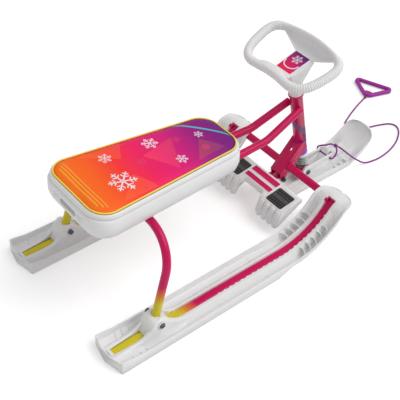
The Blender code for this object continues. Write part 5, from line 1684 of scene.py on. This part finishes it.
@dataclass
class SteeringWheel:
    """Moulded wheel with ribbed grips, dished web, flared neck and a badge."""

    half: float = 0.0117
    thin: float = 0.0072
    deep: float = 0.0128
    height: float = 0.2560
    slope: float = 0.045
    rib_pitch: float = 0.0058
    rib_swell: float = 0.0013
    middle: Outline = (
        (0.0, -0.0735), (0.0200, -0.0738), (0.0400, -0.0762), (0.0600, -0.0782),
        (0.0780, -0.0770), (0.0920, -0.0712), (0.1030, -0.0610), (0.1110, -0.0470),
        (0.1175, -0.0260), (0.1215, -0.0030), (0.1232, 0.0160), (0.1225, 0.0330),
        (0.1175, 0.0465), (0.1080, 0.0560), (0.0950, 0.0620), (0.0760, 0.0672),
        (0.0500, 0.0718), (0.0250, 0.0748), (0.0, 0.0758),
    )
    web_half: float = 0.0930
    web_foot_half: float = 0.0268
    web_foot: Point = (0.0358, 0.2324)
    web_dish: float = 0.0100
    neck_radius: float = 0.0213
    neck_levels: tuple[tuple[float, float, float], ...] = (
        (0.1560, 0.0, 0.0), (0.1600, 0.0, 0.0), (0.1720, 0.19, 0.0), (0.1900, 0.47, 0.0),
        (0.2080, 0.76, 0.0), (0.2200, 0.95, 0.0), (0.2236, 1.0, 0.0), (0.2260, 1.0, 0.2),
        (0.2318, 1.0, 0.92), (0.2326, 1.0, 1.0))
    neck_cut: float = 0.1640
    badge_top: float = 0.2333
    print_rise: float = 0.0006
    thumb_half: float = 0.0460
    thumb_rear: float = -0.0745

    def outline(self) -> list[Vector]:
        """Middle line of the rim in the wheel's plane.

        Returns:
            Its points, closely spaced.
        """
        knots = [*self.middle, *((-x, y) for x, y in reversed(self.middle[1:-1]))]
        knots = [Vector((x, y, 0)) for x, y in knots]
        line = smooth_route([*knots[-2:], *knots, *knots[:3]], 0.0008)
        first = min(range(len(line) // 2), key=lambda i: (line[i] - knots[0]).length)
        last = max(i for i in range(len(line)) if (line[i] - knots[0]).length < 0.0001)
        return line[first:last]

    def grip(self, point: Vector) -> float:
        """Share of the grip's ribs at a point of the rim."""
        return ramped(abs(point.x), 0.058, 0.006) * ramped(-point.y, -0.072, 0.006)

    def rim(self) -> None:
        """Rim as one smooth ring, thin in front and ribbed where the hands hold it."""
        line = self.outline()
        rings = []
        travelled = 0.0
        for i, point in enumerate(line):
            run = (line[(i + 1) % len(line)] - line[i - 1]).normalized()
            outward = Vector((run.y, -run.x, 0))
            travelled += (point - line[i - 1]).length
            wave = 0.5 + 0.5 * cos(TURN * travelled / self.rib_pitch)
            swell = self.grip(point) * self.rib_swell * (wave**0.6 - 0.5)
            front = between(point.y, [(0.0540, 0.0), (0.0690, 1.0)])
            wide = self.half + (self.thin - self.half) * front + swell
            centre = Vector((point.x, point.y, self.height + self.slope * point.y))
            rings.append([centre + outward * wide * cos(a)
                          + Vector((0, 0, (self.deep + swell) * sin(a)))
                          for a in around(24)])
        mesh = moved(loft("rim", rings, closed=True), STEER)
        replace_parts(settle("wheel_rim", mesh, WHITE, Body.COLUMN, 60.0), "steering_wheel")

    def front_web(self) -> None:
        """Dished web up to the front of the rim."""
        rings = []
        for n in range(41):
            u = -1 + n / 20
            low = Vector((self.web_foot_half * u, *self.web_foot))
            x = self.web_half * u
            y = between(abs(x), [(0.0, 0.0720), (0.0760, 0.0648), (0.0930, 0.0580)])
            edge = between(abs(u), [(0.55, 0.0006), (1.0, -0.0040)])
            high = Vector((x, y, self.height + self.slope * y + edge))
            thick = Vector((0, 0, 0.0034 + 0.0020 * abs(u)**6))
            upper = []
            for k in range(13):
                t = k / 12
                bow = sin(pi * t) * (1 - 0.75 * abs(u)**4)
                point = low.lerp(high, t)
                point.z -= self.web_dish * bow * (1 - 0.25 * t)
                point.y += 0.0040 * bow
                upper.append(point)
            rings.append(upper + [point - thick for point in reversed(upper)])
        settle("wheel_web", moved(loft("wheel_web", rings), STEER), WHITE, Body.COLUMN, 50.0)

    def rear_web(self) -> None:
        """Short web from the hub to the rear bar."""
        rings = []
        for n in range(9):
            t = n / 8
            half = 0.0275 + 0.0140 * t
            y = -0.0340 - 0.0360 * t
            top = 0.2325 + 0.0220 * between(t, [(0.0, 0.0), (1.0, 1.0)])
            rings.append([Vector((-half, y, top)), Vector((half, y, top)),
                          Vector((half, y, top - 0.0050)), Vector((-half, y, top - 0.0050))])
        settle("rear_web", moved(loft("rear_web", rings), STEER), WHITE, Body.COLUMN, 30.0)

    def hub(self) -> None:
        """Plate under the badge and the neck that flares up to it."""
        skirt = rounded_plan((0.0290, 0.0372), (-0.0378, 0.0430), (0.007, 0.007, 0.008, 0.008), 8)
        flat = rounded_plan((0.0258, 0.0262), (-0.0368, 0.0372), (0.003,) * 4, 8)
        rings = []
        for height, share, rise in self.neck_levels:
            ring = []
            for point, peak in zip(skirt, flat):
                place = point.normalized() * self.neck_radius
                place = place.lerp(point, share).lerp(peak, rise)
                ring.append(Vector((place.x, place.y, height)))
            rings.append(ring)
        settle("wheel_hub", moved(loft("wheel_hub", rings), STEER), WHITE, Body.COLUMN, 50.0)

    def neck(self) -> None:
        """Socket below the hub, cut from a rounded copy of the wheel."""
        build = bmesh.new()
        build.from_mesh(softened("steering_wheel", 0.0006))
        cut = bmesh.ops.bisect_plane(
            build, geom=[*build.verts, *build.edges, *build.faces],
            plane_co=STEER @ Vector((0, 0, self.neck_cut)), plane_no=STEER_AXIS,
            clear_outer=True)
        edges = [item for item in cut["geom_cut"] if isinstance(item, bmesh.types.BMEdge)]
        bmesh.ops.holes_fill(build, edges=edges, sides=0)
        settle("wheel_neck", baked("wheel_neck", build), WHITE, Body.COLUMN)

    def plate(self, name: str, outline: Outline, low: float, high: float,
              inset: float, finish: Finish, slope: float = 0.0) -> None:
        """Raised plate with a chamfered edge, in the wheel's frame.

        Args:
            name: Piece name.
            outline: Its outline in plan.
            low: Height of its foot.
            high: Height of its top.
            inset: Width of the chamfer.
            finish: What it is made of.
            slope: How much it rises towards the front.
        """
        middle = sum((Vector((x, y, 0)) for x, y in outline), Vector()) / len(outline)
        rings = []
        for share, height in ((0.0, low), (0.0, high - inset), (0.5, high - inset * 0.25),
                              (1.0, high)):
            ring = []
            for x, y in outline:
                point = Vector((x, y, 0))
                point -= (point - middle).normalized() * inset * share
                ring.append(point + Vector((0, 0, height + slope * y)))
            rings.append(ring)
        settle(name, moved(loft(name, rings), STEER), finish, Body.COLUMN, 50.0)

    def badge(self) -> None:
        """Shield sticker with a snowflake and a curved line."""
        top = self.badge_top
        shield = rounded_plan((0.0247, 0.0250), (-0.0352, 0.0352), (0.0012,) * 4, 3)
        self.plate("badge_plate", [(p.x, p.y) for p in shield], top - 0.0016, top + 0.0003,
                   0.0003, BADGE)
        arc = []
        for k in range(25):
            a = pi * (0.97 + 1.06 * k / 24)
            arc.append((0.0240 * cos(a), -0.0042 + 0.0200 * sin(a)))
        arc += [(x * 0.865, y * 0.865 - 0.0005) for x, y in reversed(arc)]
        build = bmesh.new()
        for shape in [*snowflake((0.0015, 0.0130), 0.0160, 0.2), arc]:
            skin(build, [[(x, y, z) for x, y in shape] for z in (top, top + self.print_rise)])
        settle("badge_print", moved(baked("badge_print", build), STEER), FLAKE, Body.COLUMN)

    def thumb_plate(self) -> None:
        """Lens on the rear bar that bulges toward the hub."""
        half, rear = self.thumb_half, self.thumb_rear
        outline = [(half * cos(pi * k / 24), rear + 0.0165 * sin(pi * k / 24))
                   for k in range(25)]
        outline += [(-half + 2 * half * k / 12, rear - 0.0055 * sin(pi * k / 12))
                    for k in range(1, 12)]
        self.plate("thumb_plate", outline, self.height - 0.0060, self.height + 0.0128, 0.0012,
                   HIGHLIGHT_WHITE, self.slope)

    def build(self) -> None:
        """Make the wheel."""
        self.rim()
        self.front_web()
        self.rear_web()
        self.hub()
        self.neck()
        self.thumb_plate()
        self.badge()


@dataclass
class Column:
    """Head tube, bushes, shaft, spring and fork."""

    radius: float = 0.0180
    tube_profile: Outline = (
        (0.0154, 0.1228), (0.0160, 0.1230), (0.0206, 0.1230), (0.0212, 0.1226),
        (0.0214, 0.1216), (0.0214, 0.1170), (0.0207, 0.1156), (0.0186, 0.1124),
        (0.0180, 0.1112), (0.0180, -0.1160), (0.0176, -0.1170), (0.0158, -0.1170),
        (0.0154, -0.1166), (0.0154, 0.1228))
    band_half: float = 0.0138
    band_steps: int = 24
    dot_radius: float = 0.0024
    dot_rise: float = 0.0005
    spring_radius: float = 0.0152
    spring_wire: float = 0.0019
    spring_top: float = -0.1321
    spring_bottom: float = -0.1685
    spring_turns: int = 4
    spring_steps: int = 128

    def skin(self, angle: float, height: float, lift: float = 0.0) -> Vector:
        """Point on the head tube's skin."""
        reach = self.radius + lift
        return STEER @ Vector((reach * cos(angle), reach * sin(angle), height))

    def head_tube(self) -> None:
        """Head tube with its wider collar."""
        rings = [[Vector((radius * cos(a), radius * sin(a), height))
                  for a in around(56)] for radius, height in self.tube_profile]
        stand_in("head_tube", moved(loft("head_tube", rings, caps=False), STEER), HEAD_PAINT)

    def band(self) -> None:
        """Violet band that winds down the paint."""
        rings = []
        for k in range(self.band_steps + 1):
            angle = radians(-120 + 170 * k / self.band_steps)
            centre = 0.0275 - 0.060 * k / self.band_steps
            rings.append([self.skin(angle, centre + reach, lift) for reach, lift in (
                (-self.band_half, -0.0003), (self.band_half, -0.0003),
                (self.band_half - 0.0002, 0.00025), (0.0002 - self.band_half, 0.00025))])
        settle("head_band", loft("head_band", rings), HAZE, sharp=60.0)

    def dots(self) -> None:
        """Three columns of dots on the paint."""
        build = bmesh.new()
        for column in range(3):
            for row in range(7):
                angle = radians(-4 + 20 * column)
                height = -0.008 - 0.0086 * row - 0.0030 * column
                skin(build, [[self.skin(angle + self.dot_radius * cos(a) / self.radius,
                                        height + self.dot_radius * sin(a), lift)
                              for a in around(10)] for lift in (0.0, self.dot_rise)])
        settle("head_dots", baked("head_dots", build), DOT)

    def spring(self) -> None:
        """Suspension spring of wound wire."""
        points = []
        for i in range(self.spring_steps + 1):
            a = TURN * self.spring_turns * i / self.spring_steps
            rise = (self.spring_top - self.spring_bottom) * i / self.spring_steps
            points.append(Vector((self.spring_radius * cos(a),
                                  self.spring_radius * sin(a), self.spring_bottom + rise)))
        mesh = moved(pipe("spring", points, self.spring_wire, 12), STEER)
        piece = stand_in("suspension_spring", mesh, SPRING_GREY, sharp=60.0)
        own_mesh(piece)

    def build(self) -> None:
        """Make the column."""
        self.head_tube()
        self.band()
        self.dots()
        self.spring()
        soften("fork", PINK, Body.COLUMN, 0.0008)
        for name, finish in (("upper_bush", HIGHLIGHT_WHITE), ("lower_bush", HIGHLIGHT_WHITE),
                             ("steering_shaft", ZINC), ("spring_seat", ZINC)):
            dress(name, finish)


# Foot brake

@dataclass
class FootBrake:
    """Moulded pedal with rubber pads, claws and crimson slots."""

    place: Matrix = field(default_factory=lambda: Matrix.Translation((0, 0.190, 0.064))
                          @ Matrix.Rotation(radians(8.3), 4, "X"))
    pad_inner: float = 0.0590
    pad_outer: float = 0.1185
    pad_top: float = 0.0312
    mark_rows: tuple[tuple[float, int], ...] = (
        (-0.0975, 1), (-0.0895, -1), (-0.0610, 1), (-0.0530, -1))
    mark_size: float = 0.0033
    mark_pitch: float = 0.0077
    claw_line: tuple[Point, ...] = (
        (0, -0.1010, 0.0262), (0, -0.1085, 0.0250), (0, -0.1150, 0.0190),
        (0, -0.1205, 0.0080), (0, -0.1255, -0.0060), (0, -0.1292, -0.0178))
    claw_first: float = 0.0440
    claw_pitch: float = 0.0215
    slots: tuple[tuple[str, float, float], ...] = (
        ("front", -0.0568, -0.0376), ("rear", -0.0830, -0.0668))
    slot_half: float = 0.0516
    slot_top: float = 0.0304

    def tread(self, side: Side) -> None:
        """Pad with a plain band between rows of embossed triangles.

        Args:
            side: Side of the pad.
        """
        s, size, top = side.value, self.mark_size, self.pad_top
        band, marks = bmesh.new(), bmesh.new()
        middle = (s * (self.pad_inner + self.pad_outer) / 2, -0.0750, top - 0.0004)
        bead(band, middle, X_AXIS, Y_AXIS, 0.0285, 0.0070, 0.0009)
        for y, way in self.mark_rows:
            for n in range(7):
                x = s * (self.pad_inner + 0.0065 + self.mark_pitch * n)
                foot = [(x - size, y - way * size), (x + size, y - way * size),
                        (x, y + way * size)]
                skin(marks, [[(x + (u - x) * share, y + (v - y) * share, z) for u, v in foot]
                             for share, z in ((1.0, top - 0.0005), (0.7, top + 0.0009))])
        settle(f"pad_band_{side.label}", moved(baked("band", band), self.place), BAND, Body.BRAKE)
        # The triangles take the lighter grey of a painted highlight.
        settle(f"pad_marks_{side.label}", moved(baked("marks", marks), self.place), TREAD_HIGHLIGHT,
               Body.BRAKE, 20.0)
        soften(f"brake_pad_{side.label}", RUBBER, Body.BRAKE, 0.0006)

    def claw(self, x: float) -> Mesh:
        """Rounded finger that bites the snow.

        Args:
            x: Where it lies across the brake.

        Returns:
            Its mesh, in the brake's frame.
        """
        line = smooth_route(self.claw_line, 0.004)
        last = len(line) - 1
        rings = []
        for i, point in enumerate(line):
            t = i / last
            run = (line[min(i + 1, last)] - line[max(i - 1, 0)]).normalized()
            out = Vector((0, run.z, -run.y)) if run.z < 0 else Z_AXIS
            half = 0.0092 - 0.0030 * t * t
            rise = 0.0048 * min(1.0, 4 * t + 0.25)
            rings.append([point + Vector((x + half * cos(a), 0, 0))
                          + out * rise * sin(a) for a in around(20)])
        return loft("claw", rings)

    def claws(self) -> None:
        """Four fingers behind each pad."""
        for side in Side:
            build = bmesh.new()
            for n in range(4):
                x = side.value * (self.claw_first + self.claw_pitch * (n + 0.5))
                build.from_mesh(self.claw(x))
            settle(f"claws_{side.label}", moved(baked("claws", build), self.place), WHITE,
                   Body.BRAKE, 50.0)

    def inlays(self) -> None:
        """Crimson strips of the frame that show in the two slots."""
        for name, rear, front in self.slots:
            plan = rounded_plan((self.slot_half,) * 2, (rear, front), (0.0034,) * 4, 5)
            middle = (rear + front) / 2
            rings = [[Vector((p.x * wide, middle + (p.y - middle) * deep, z)) for p in plan]
                     for z, wide, deep in ((0.0200, 1.0, 1.0), (0.0304, 1.0, 1.0),
                                           (0.0306, 0.99, 0.95), (0.0303, 0.98, 0.84),
                                           (0.0303, 0.5, 0.3))]
            mesh = moved(loft(f"inlay_{name}", rings), self.place)
            settle(f"slot_inlay_{name}", mesh, PINK, Body.BRAKE)

    def slot_rims(self) -> None:
        """Raised rims round the two slots."""
        build = bmesh.new()
        half = self.slot_half + 0.0006
        for _, rear, front in self.slots:
            line = rounded_plan((half, half), (rear - 0.0006, front + 0.0006), (0.0036,) * 4, 6,
                                self.slot_top)
            build.from_mesh(pipe("rim", line, 0.0010, 8, closed=True))
        settle("slot_rims", moved(baked("slot_rims", build), self.place), HIGHLIGHT_WHITE, Body.BRAKE)

    def build(self) -> None:
        """Make the brake."""
        soften("brake_plate", WHITE, Body.BRAKE, 0.0007, 30.0)
        for side in Side:
            self.tread(side)
        self.claws()
        self.inlays()
        self.slot_rims()
        dress("brake_spring", ZINC)


# Fasteners

@dataclass(frozen=True)
class SocketBolt:
    """Bolt along X with a hexagon socket in its head."""

    node: str
    body: Body
    radius: float
    head_r: float
    head: float

    def ring(self, x: float, radius: float, hexed: bool = False) -> list[Vector]:
        """Section of the bolt.

        Args:
            x: Where it is cut.
            radius: Its radius, to the corners of a hexagon.
            hexed: Whether it is a hexagon.

        Returns:
            Its points.
        """
        low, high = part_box(self.node)
        centre = (Vector(low) + Vector(high)) / 2
        points = []
        for a in around(24):
            reach = radius
            if hexed:
                part = (a % (pi / 3)) - pi / 6
                reach = radius * cos(pi / 6) / cos(part)
            points.append(Vector((x, centre.y + reach * cos(a),
                                  centre.z + reach * sin(a))))
        return points

    def build(self, way: int) -> None:
        """Make the bolt in its CAD solid's place.

        Args:
            way: 1 where its head is on the right, -1 where it is on the left.
        """
        low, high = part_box(self.node)
        start, end = (low[0], high[0]) if way > 0 else (high[0], low[0])
        face = end - way * self.head
        socket = self.head_r * 0.52
        rings = [self.ring(*sizes) for sizes in (
            (start, self.radius * 0.8), (start + way * 0.0006, self.radius),
            (face, self.radius), (face, self.head_r - 0.0002),
            (face + way * 0.0004, self.head_r), (end - way * 0.0014, self.head_r),
            (end - way * 0.0005, self.head_r * 0.92), (end, self.head_r * 0.76),
            (end, socket * 1.06, True), (end - way * 0.0004, socket, True),
            (end - way * self.head * 0.6, socket, True))]
        stand_in(self.node, loft(self.node, rings), DARK_ZINC, self.body)


@dataclass
class Fasteners:
    """Bolts, nuts and the raised rings round three bolt heads."""

    ring_wire: float = 0.0014
    nut_round: float = 0.0005

    def ring(self, name: str, centre: Point, radius: float, body: Body) -> None:
        """Raised ring of plastic round a bolt head.

        Args:
            name: Piece name.
            centre: Middle of the ring, which lies across X.
            radius: Radius of its middle line.
            body: Body it moves with.
        """
        line = [Vector(centre) + Vector((0, radius * cos(a), radius * sin(a)))
                for a in around(32)]
        settle(name, pipe(name, line, self.ring_wire, 10, closed=True), WHITE, body, 60.0)

    def build(self) -> None:
        """Make all of them."""
        for side in Side:
            self.ring(f"leg_ring_{side.label}", (side.value * 0.2278, -0.4067, 0.0515), 0.0096,
                      Body.CHASSIS)
        self.ring("pivot_ring", (0.0236, 0.2903, 0.0431), 0.0104, Body.RUNNER)
        for side in Side:
            bolt = SocketBolt(f"leg_bolt_{side.label}", Body.CHASSIS, 0.0040, 0.0072, 0.0050)
            bolt.build(side.value)
            soften(f"leg_nut_{side.label}", DARK_ZINC, Body.CHASSIS, self.nut_round)
        SocketBolt("pivot_bolt", Body.COLUMN, 0.0040, 0.0070, 0.0050).build(1)
        SocketBolt("hinge_bolt", Body.CHASSIS, 0.0040, 0.0068, 0.0045).build(-1)
        SocketBolt("wheel_bolt", Body.COLUMN, 0.0025, 0.0052, 0.0035).build(1)
        for name, body in (("pivot_nut", Body.COLUMN), ("wheel_nut", Body.COLUMN),
                           ("hinge_nut", Body.CHASSIS)):
            soften(name, DARK_ZINC, body, self.nut_round)


# Tow cord

@dataclass
class TowSet:
    """Cord, loop, knots and handle, lying as in the photograph."""

    radius: float = 0.0025
    knot_r: float = 0.0065
    knot_scale: float = 0.00145
    knot_cord: float = 0.0021
    gap: float = 0.0003
    centre: Vector = field(default_factory=lambda: Vector((0.0050, 0.4210, 0.0675)))
    hole: Vector = field(default_factory=lambda: Vector((0, 0.3800, 0.0520)))
    cheek: float = 0.0225
    handle_r: float = 0.0065
    handle_wide: float = 0.150
    handle_deep: float = 0.080
    handle_at: Point = (-0.1640, 0.7524)
    handle_turn: float = radians(23)
    falling: tuple[Point, ...] = (
        (0.0200, 0.4280, 0.0640), (0.0380, 0.4370, 0.0540), (0.0530, 0.4490, 0.0410),
        (0.0630, 0.4660, 0.0270), (0.0680, 0.4860, 0.0120))
    lying: Outline = (
        (0.0770, 0.5530), (0.0700, 0.6120), (0.0510, 0.6650), (0.0230, 0.7050),
        (-0.0030, 0.7175), (-0.0240, 0.7020), (-0.0453, 0.6444), (-0.0482, 0.6053),
        (-0.0600, 0.5716), (-0.0788, 0.5775), (-0.1000, 0.5895), (-0.1073, 0.5934),
        (-0.1273, 0.6377), (-0.1476, 0.6924))

    def frame(self) -> Matrix:
        """Frame of the handle on the ground."""
        return (Matrix.Translation((*self.handle_at, self.handle_r + self.gap))
                @ Matrix.Rotation(self.handle_turn, 4, "Z"))

    def handle_line(self, steps: int) -> list[Vector]:
        """Middle line of the handle, in its own frame.

        Args:
            steps: Segments of each corner.

        Returns:
            Its points.
        """
        half = self.handle_wide / 2 - self.handle_r
        return filleted([(0, 0, 0), (half, self.handle_deep, 0), (-half, self.handle_deep, 0)],
                        (0.016, 0.009, 0.009), steps, closed=True)

    def end_knot(self) -> Vector:
        """Middle of the knot at the handle."""
        apex = self.handle_line(6)[3]
        return self.frame() @ (apex - Vector((0, self.handle_r + self.gap + self.knot_r, 0)))

    def leave(self, centre: Vector, toward: Point) -> Vector:
        """Point just off a knot, where a cord starts."""
        return centre + (Vector(toward) - centre).normalized() * (self.knot_r + self.gap)

    def cord_line(self) -> list[Vector]:
        """Middle line of the long cord.

        Returns:
            Its points, from the loop's knot to the handle's.
        """
        f = self.radius + self.gap
        route = [*self.falling, (0.0710, 0.5080, f + 0.001), *((x, y, f) for x, y in self.lying)]
        start = self.leave(self.centre, route[0])
        end = self.leave(self.end_knot(), route[-1])
        return smooth_route([start, *route, end], 0.006)

    def loop_line(self) -> list[Vector]:
        """Middle line of the loop through the ski's cheeks.

        Returns:
            Its points, from the knot round and back to it.
        """
        side, hole, knot = self.cheek, self.hole, self.centre
        bend = side + 0.0065
        from_knot = [Vector((-0.0070, -0.0160, 0.0090)), Vector((-0.0150, -0.0290, 0.0060))]
        through = [
            (-side + 0.0010, 0.0050, 0.0155), (-bend - 0.0005, 0.0020, 0.0080),
            (-bend, 0.0, 0.0015), (-side + 0.0010, 0.0, 0.0), (0.0, 0.0, 0.0),
            (side - 0.0010, 0.0, 0.0), (bend, 0.0030, -0.0010), (bend, 0.0170, 0.0030)]
        route = [*(knot + step for step in from_knot), *(hole + Vector(p) for p in through),
                 knot + Vector((0.0150, -0.0090, -0.0060))]
        return smooth_route([self.leave(knot, route[0]), *route, self.leave(knot, route[-1])],
                            0.004)

    def strand(self, name: str, line: Sequence[Vector], node: str) -> Piece:
        """Round cord as a curve on its middle line.

        Args:
            name: Piece name.
            line: The middle line.
            node: CAD node that it stands for.

        Returns:
            The piece.
        """
        data = bpy.data.curves.new(name, "CURVE")
        data.dimensions = "3D"
        data.bevel_depth = self.radius
        data.bevel_resolution = 5
        data.use_fill_caps = True
        spline = data.splines.new("POLY")
        spline.points.add(len(line) - 1)
        for point, place in zip(spline.points, line):
            point.co = (*place, 1.0)
        data.materials.append(CORD.material())
        item = added(name, data)
        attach(item, Body.RUNNER.value)
        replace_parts(item, node)
        return item

    def knot(self, name: str, centre: Vector, turn: float, node: str) -> Piece:
        """Tied knot: a trefoil of cord pulled tight.

        Args:
            name: Piece name.
            centre: Its middle.
            turn: How far it is turned, in radians.
            node: CAD node that it stands for.

        Returns:
            The piece.
        """
        points = [Vector((sin(t) + 2 * sin(2 * t), cos(t) - 2 * cos(2 * t),
                          -1.25 * sin(3 * t))) * self.knot_scale for t in around(72)]
        spin = Matrix.Translation(centre) @ Matrix.Rotation(turn, 4, (0.4, 0.8, 0.3))
        mesh = moved(pipe(name, points, self.knot_cord, 12, closed=True), spin)
        piece = settle(name, mesh, CORD, Body.RUNNER, 60.0)
        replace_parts(piece, node)
        return piece

    def bar(self) -> Mesh:
        """Thick bar of the handle, ribbed where the hand holds it.

        Returns:
            Its mesh, in the handle's frame.
        """
        line = self.handle_line(14)
        points: list[Vector] = []
        for i, start in enumerate(line):
            end = line[(i + 1) % len(line)]
            pieces = max(1, ceil((end - start).length / 0.0015))
            points += [start.lerp(end, k / pieces) for k in range(pieces)]
        rings = []
        for i, point in enumerate(points):
            run = (points[(i + 1) % len(points)] - points[i - 1]).normalized()
            outward = Vector((run.y, -run.x, 0))
            held = point.y > 0.0795 and abs(point.x) < 0.045
            dip = 0.0005 * (0.5 + 0.5 * cos(point.x * TURN / 0.006)) if held else 0.0
            ring = []
            for a in around(20, 0.5):
                flat = (abs(cos(a)) ** 4 + abs(sin(a)) ** 4) ** -0.25
                offset = outward * cos(a) + Vector((0, 0, 0.94 * sin(a)))
                ring.append(point + offset * flat * (self.handle_r * 0.96 - dip))
            rings.append(ring)
        return loft("bar", rings, closed=True)

    def boss(self) -> Mesh:
        """Round pad in the handle's corner, where the cord is tied.

        Returns:
            Its mesh, in the handle's frame.
        """
        levels = ((0.0150, -0.0040), (0.0165, 0.0), (0.0150, 0.0046), (0.0125, 0.0058))
        return loft("boss", [[Vector((reach * 1.15 * cos(a),
                                      0.0175 + reach * 0.72 * sin(a), height))
                              for a in around(28)] for reach, height in levels])

    def handle(self) -> None:
        """Three-cornered handle."""
        build = bmesh.new()
        build.from_mesh(self.bar())
        build.from_mesh(self.boss())
        mesh = moved(baked("handle", build), self.frame())
        stand_in("tow_handle", mesh, HANDLE, Body.RUNNER, 60.0)

    def build(self) -> None:
        """Make the tow set and its cords."""
        loop_knot = self.knot("knot_at_loop", self.centre, 0.6, "tow_knot_loop")
        end_knot = self.knot("knot_at_handle", self.end_knot(), 1.9, "tow_knot_handle")
        self.handle()
        for name, line, far_end, lay, pieces, node in (
                ("tow_loop_strand", self.loop_line(), "knot", "hanging", (loop_knot,),
                 "tow_loop"),
                ("tow_cord_strand", self.cord_line(), "fitting", "loose", (end_knot,),
                 "tow_cord")):
            strand = self.strand(name, line, node)


def main() -> None:
    """Build every sub-assembly in order."""
    parts = [Studio(), TubeFrame(), *(RearSki(side) for side in Side), FrontSki(), Seat(),
             SteeringWheel(), Column(), FootBrake(), Fasteners(), TowSet()]
    for part in parts:
        LOG.info("building %s", type(part).__name__)
        part.build()


if __name__ == "__main__":
    logging.basicConfig(level=logging.INFO)
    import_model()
    main()
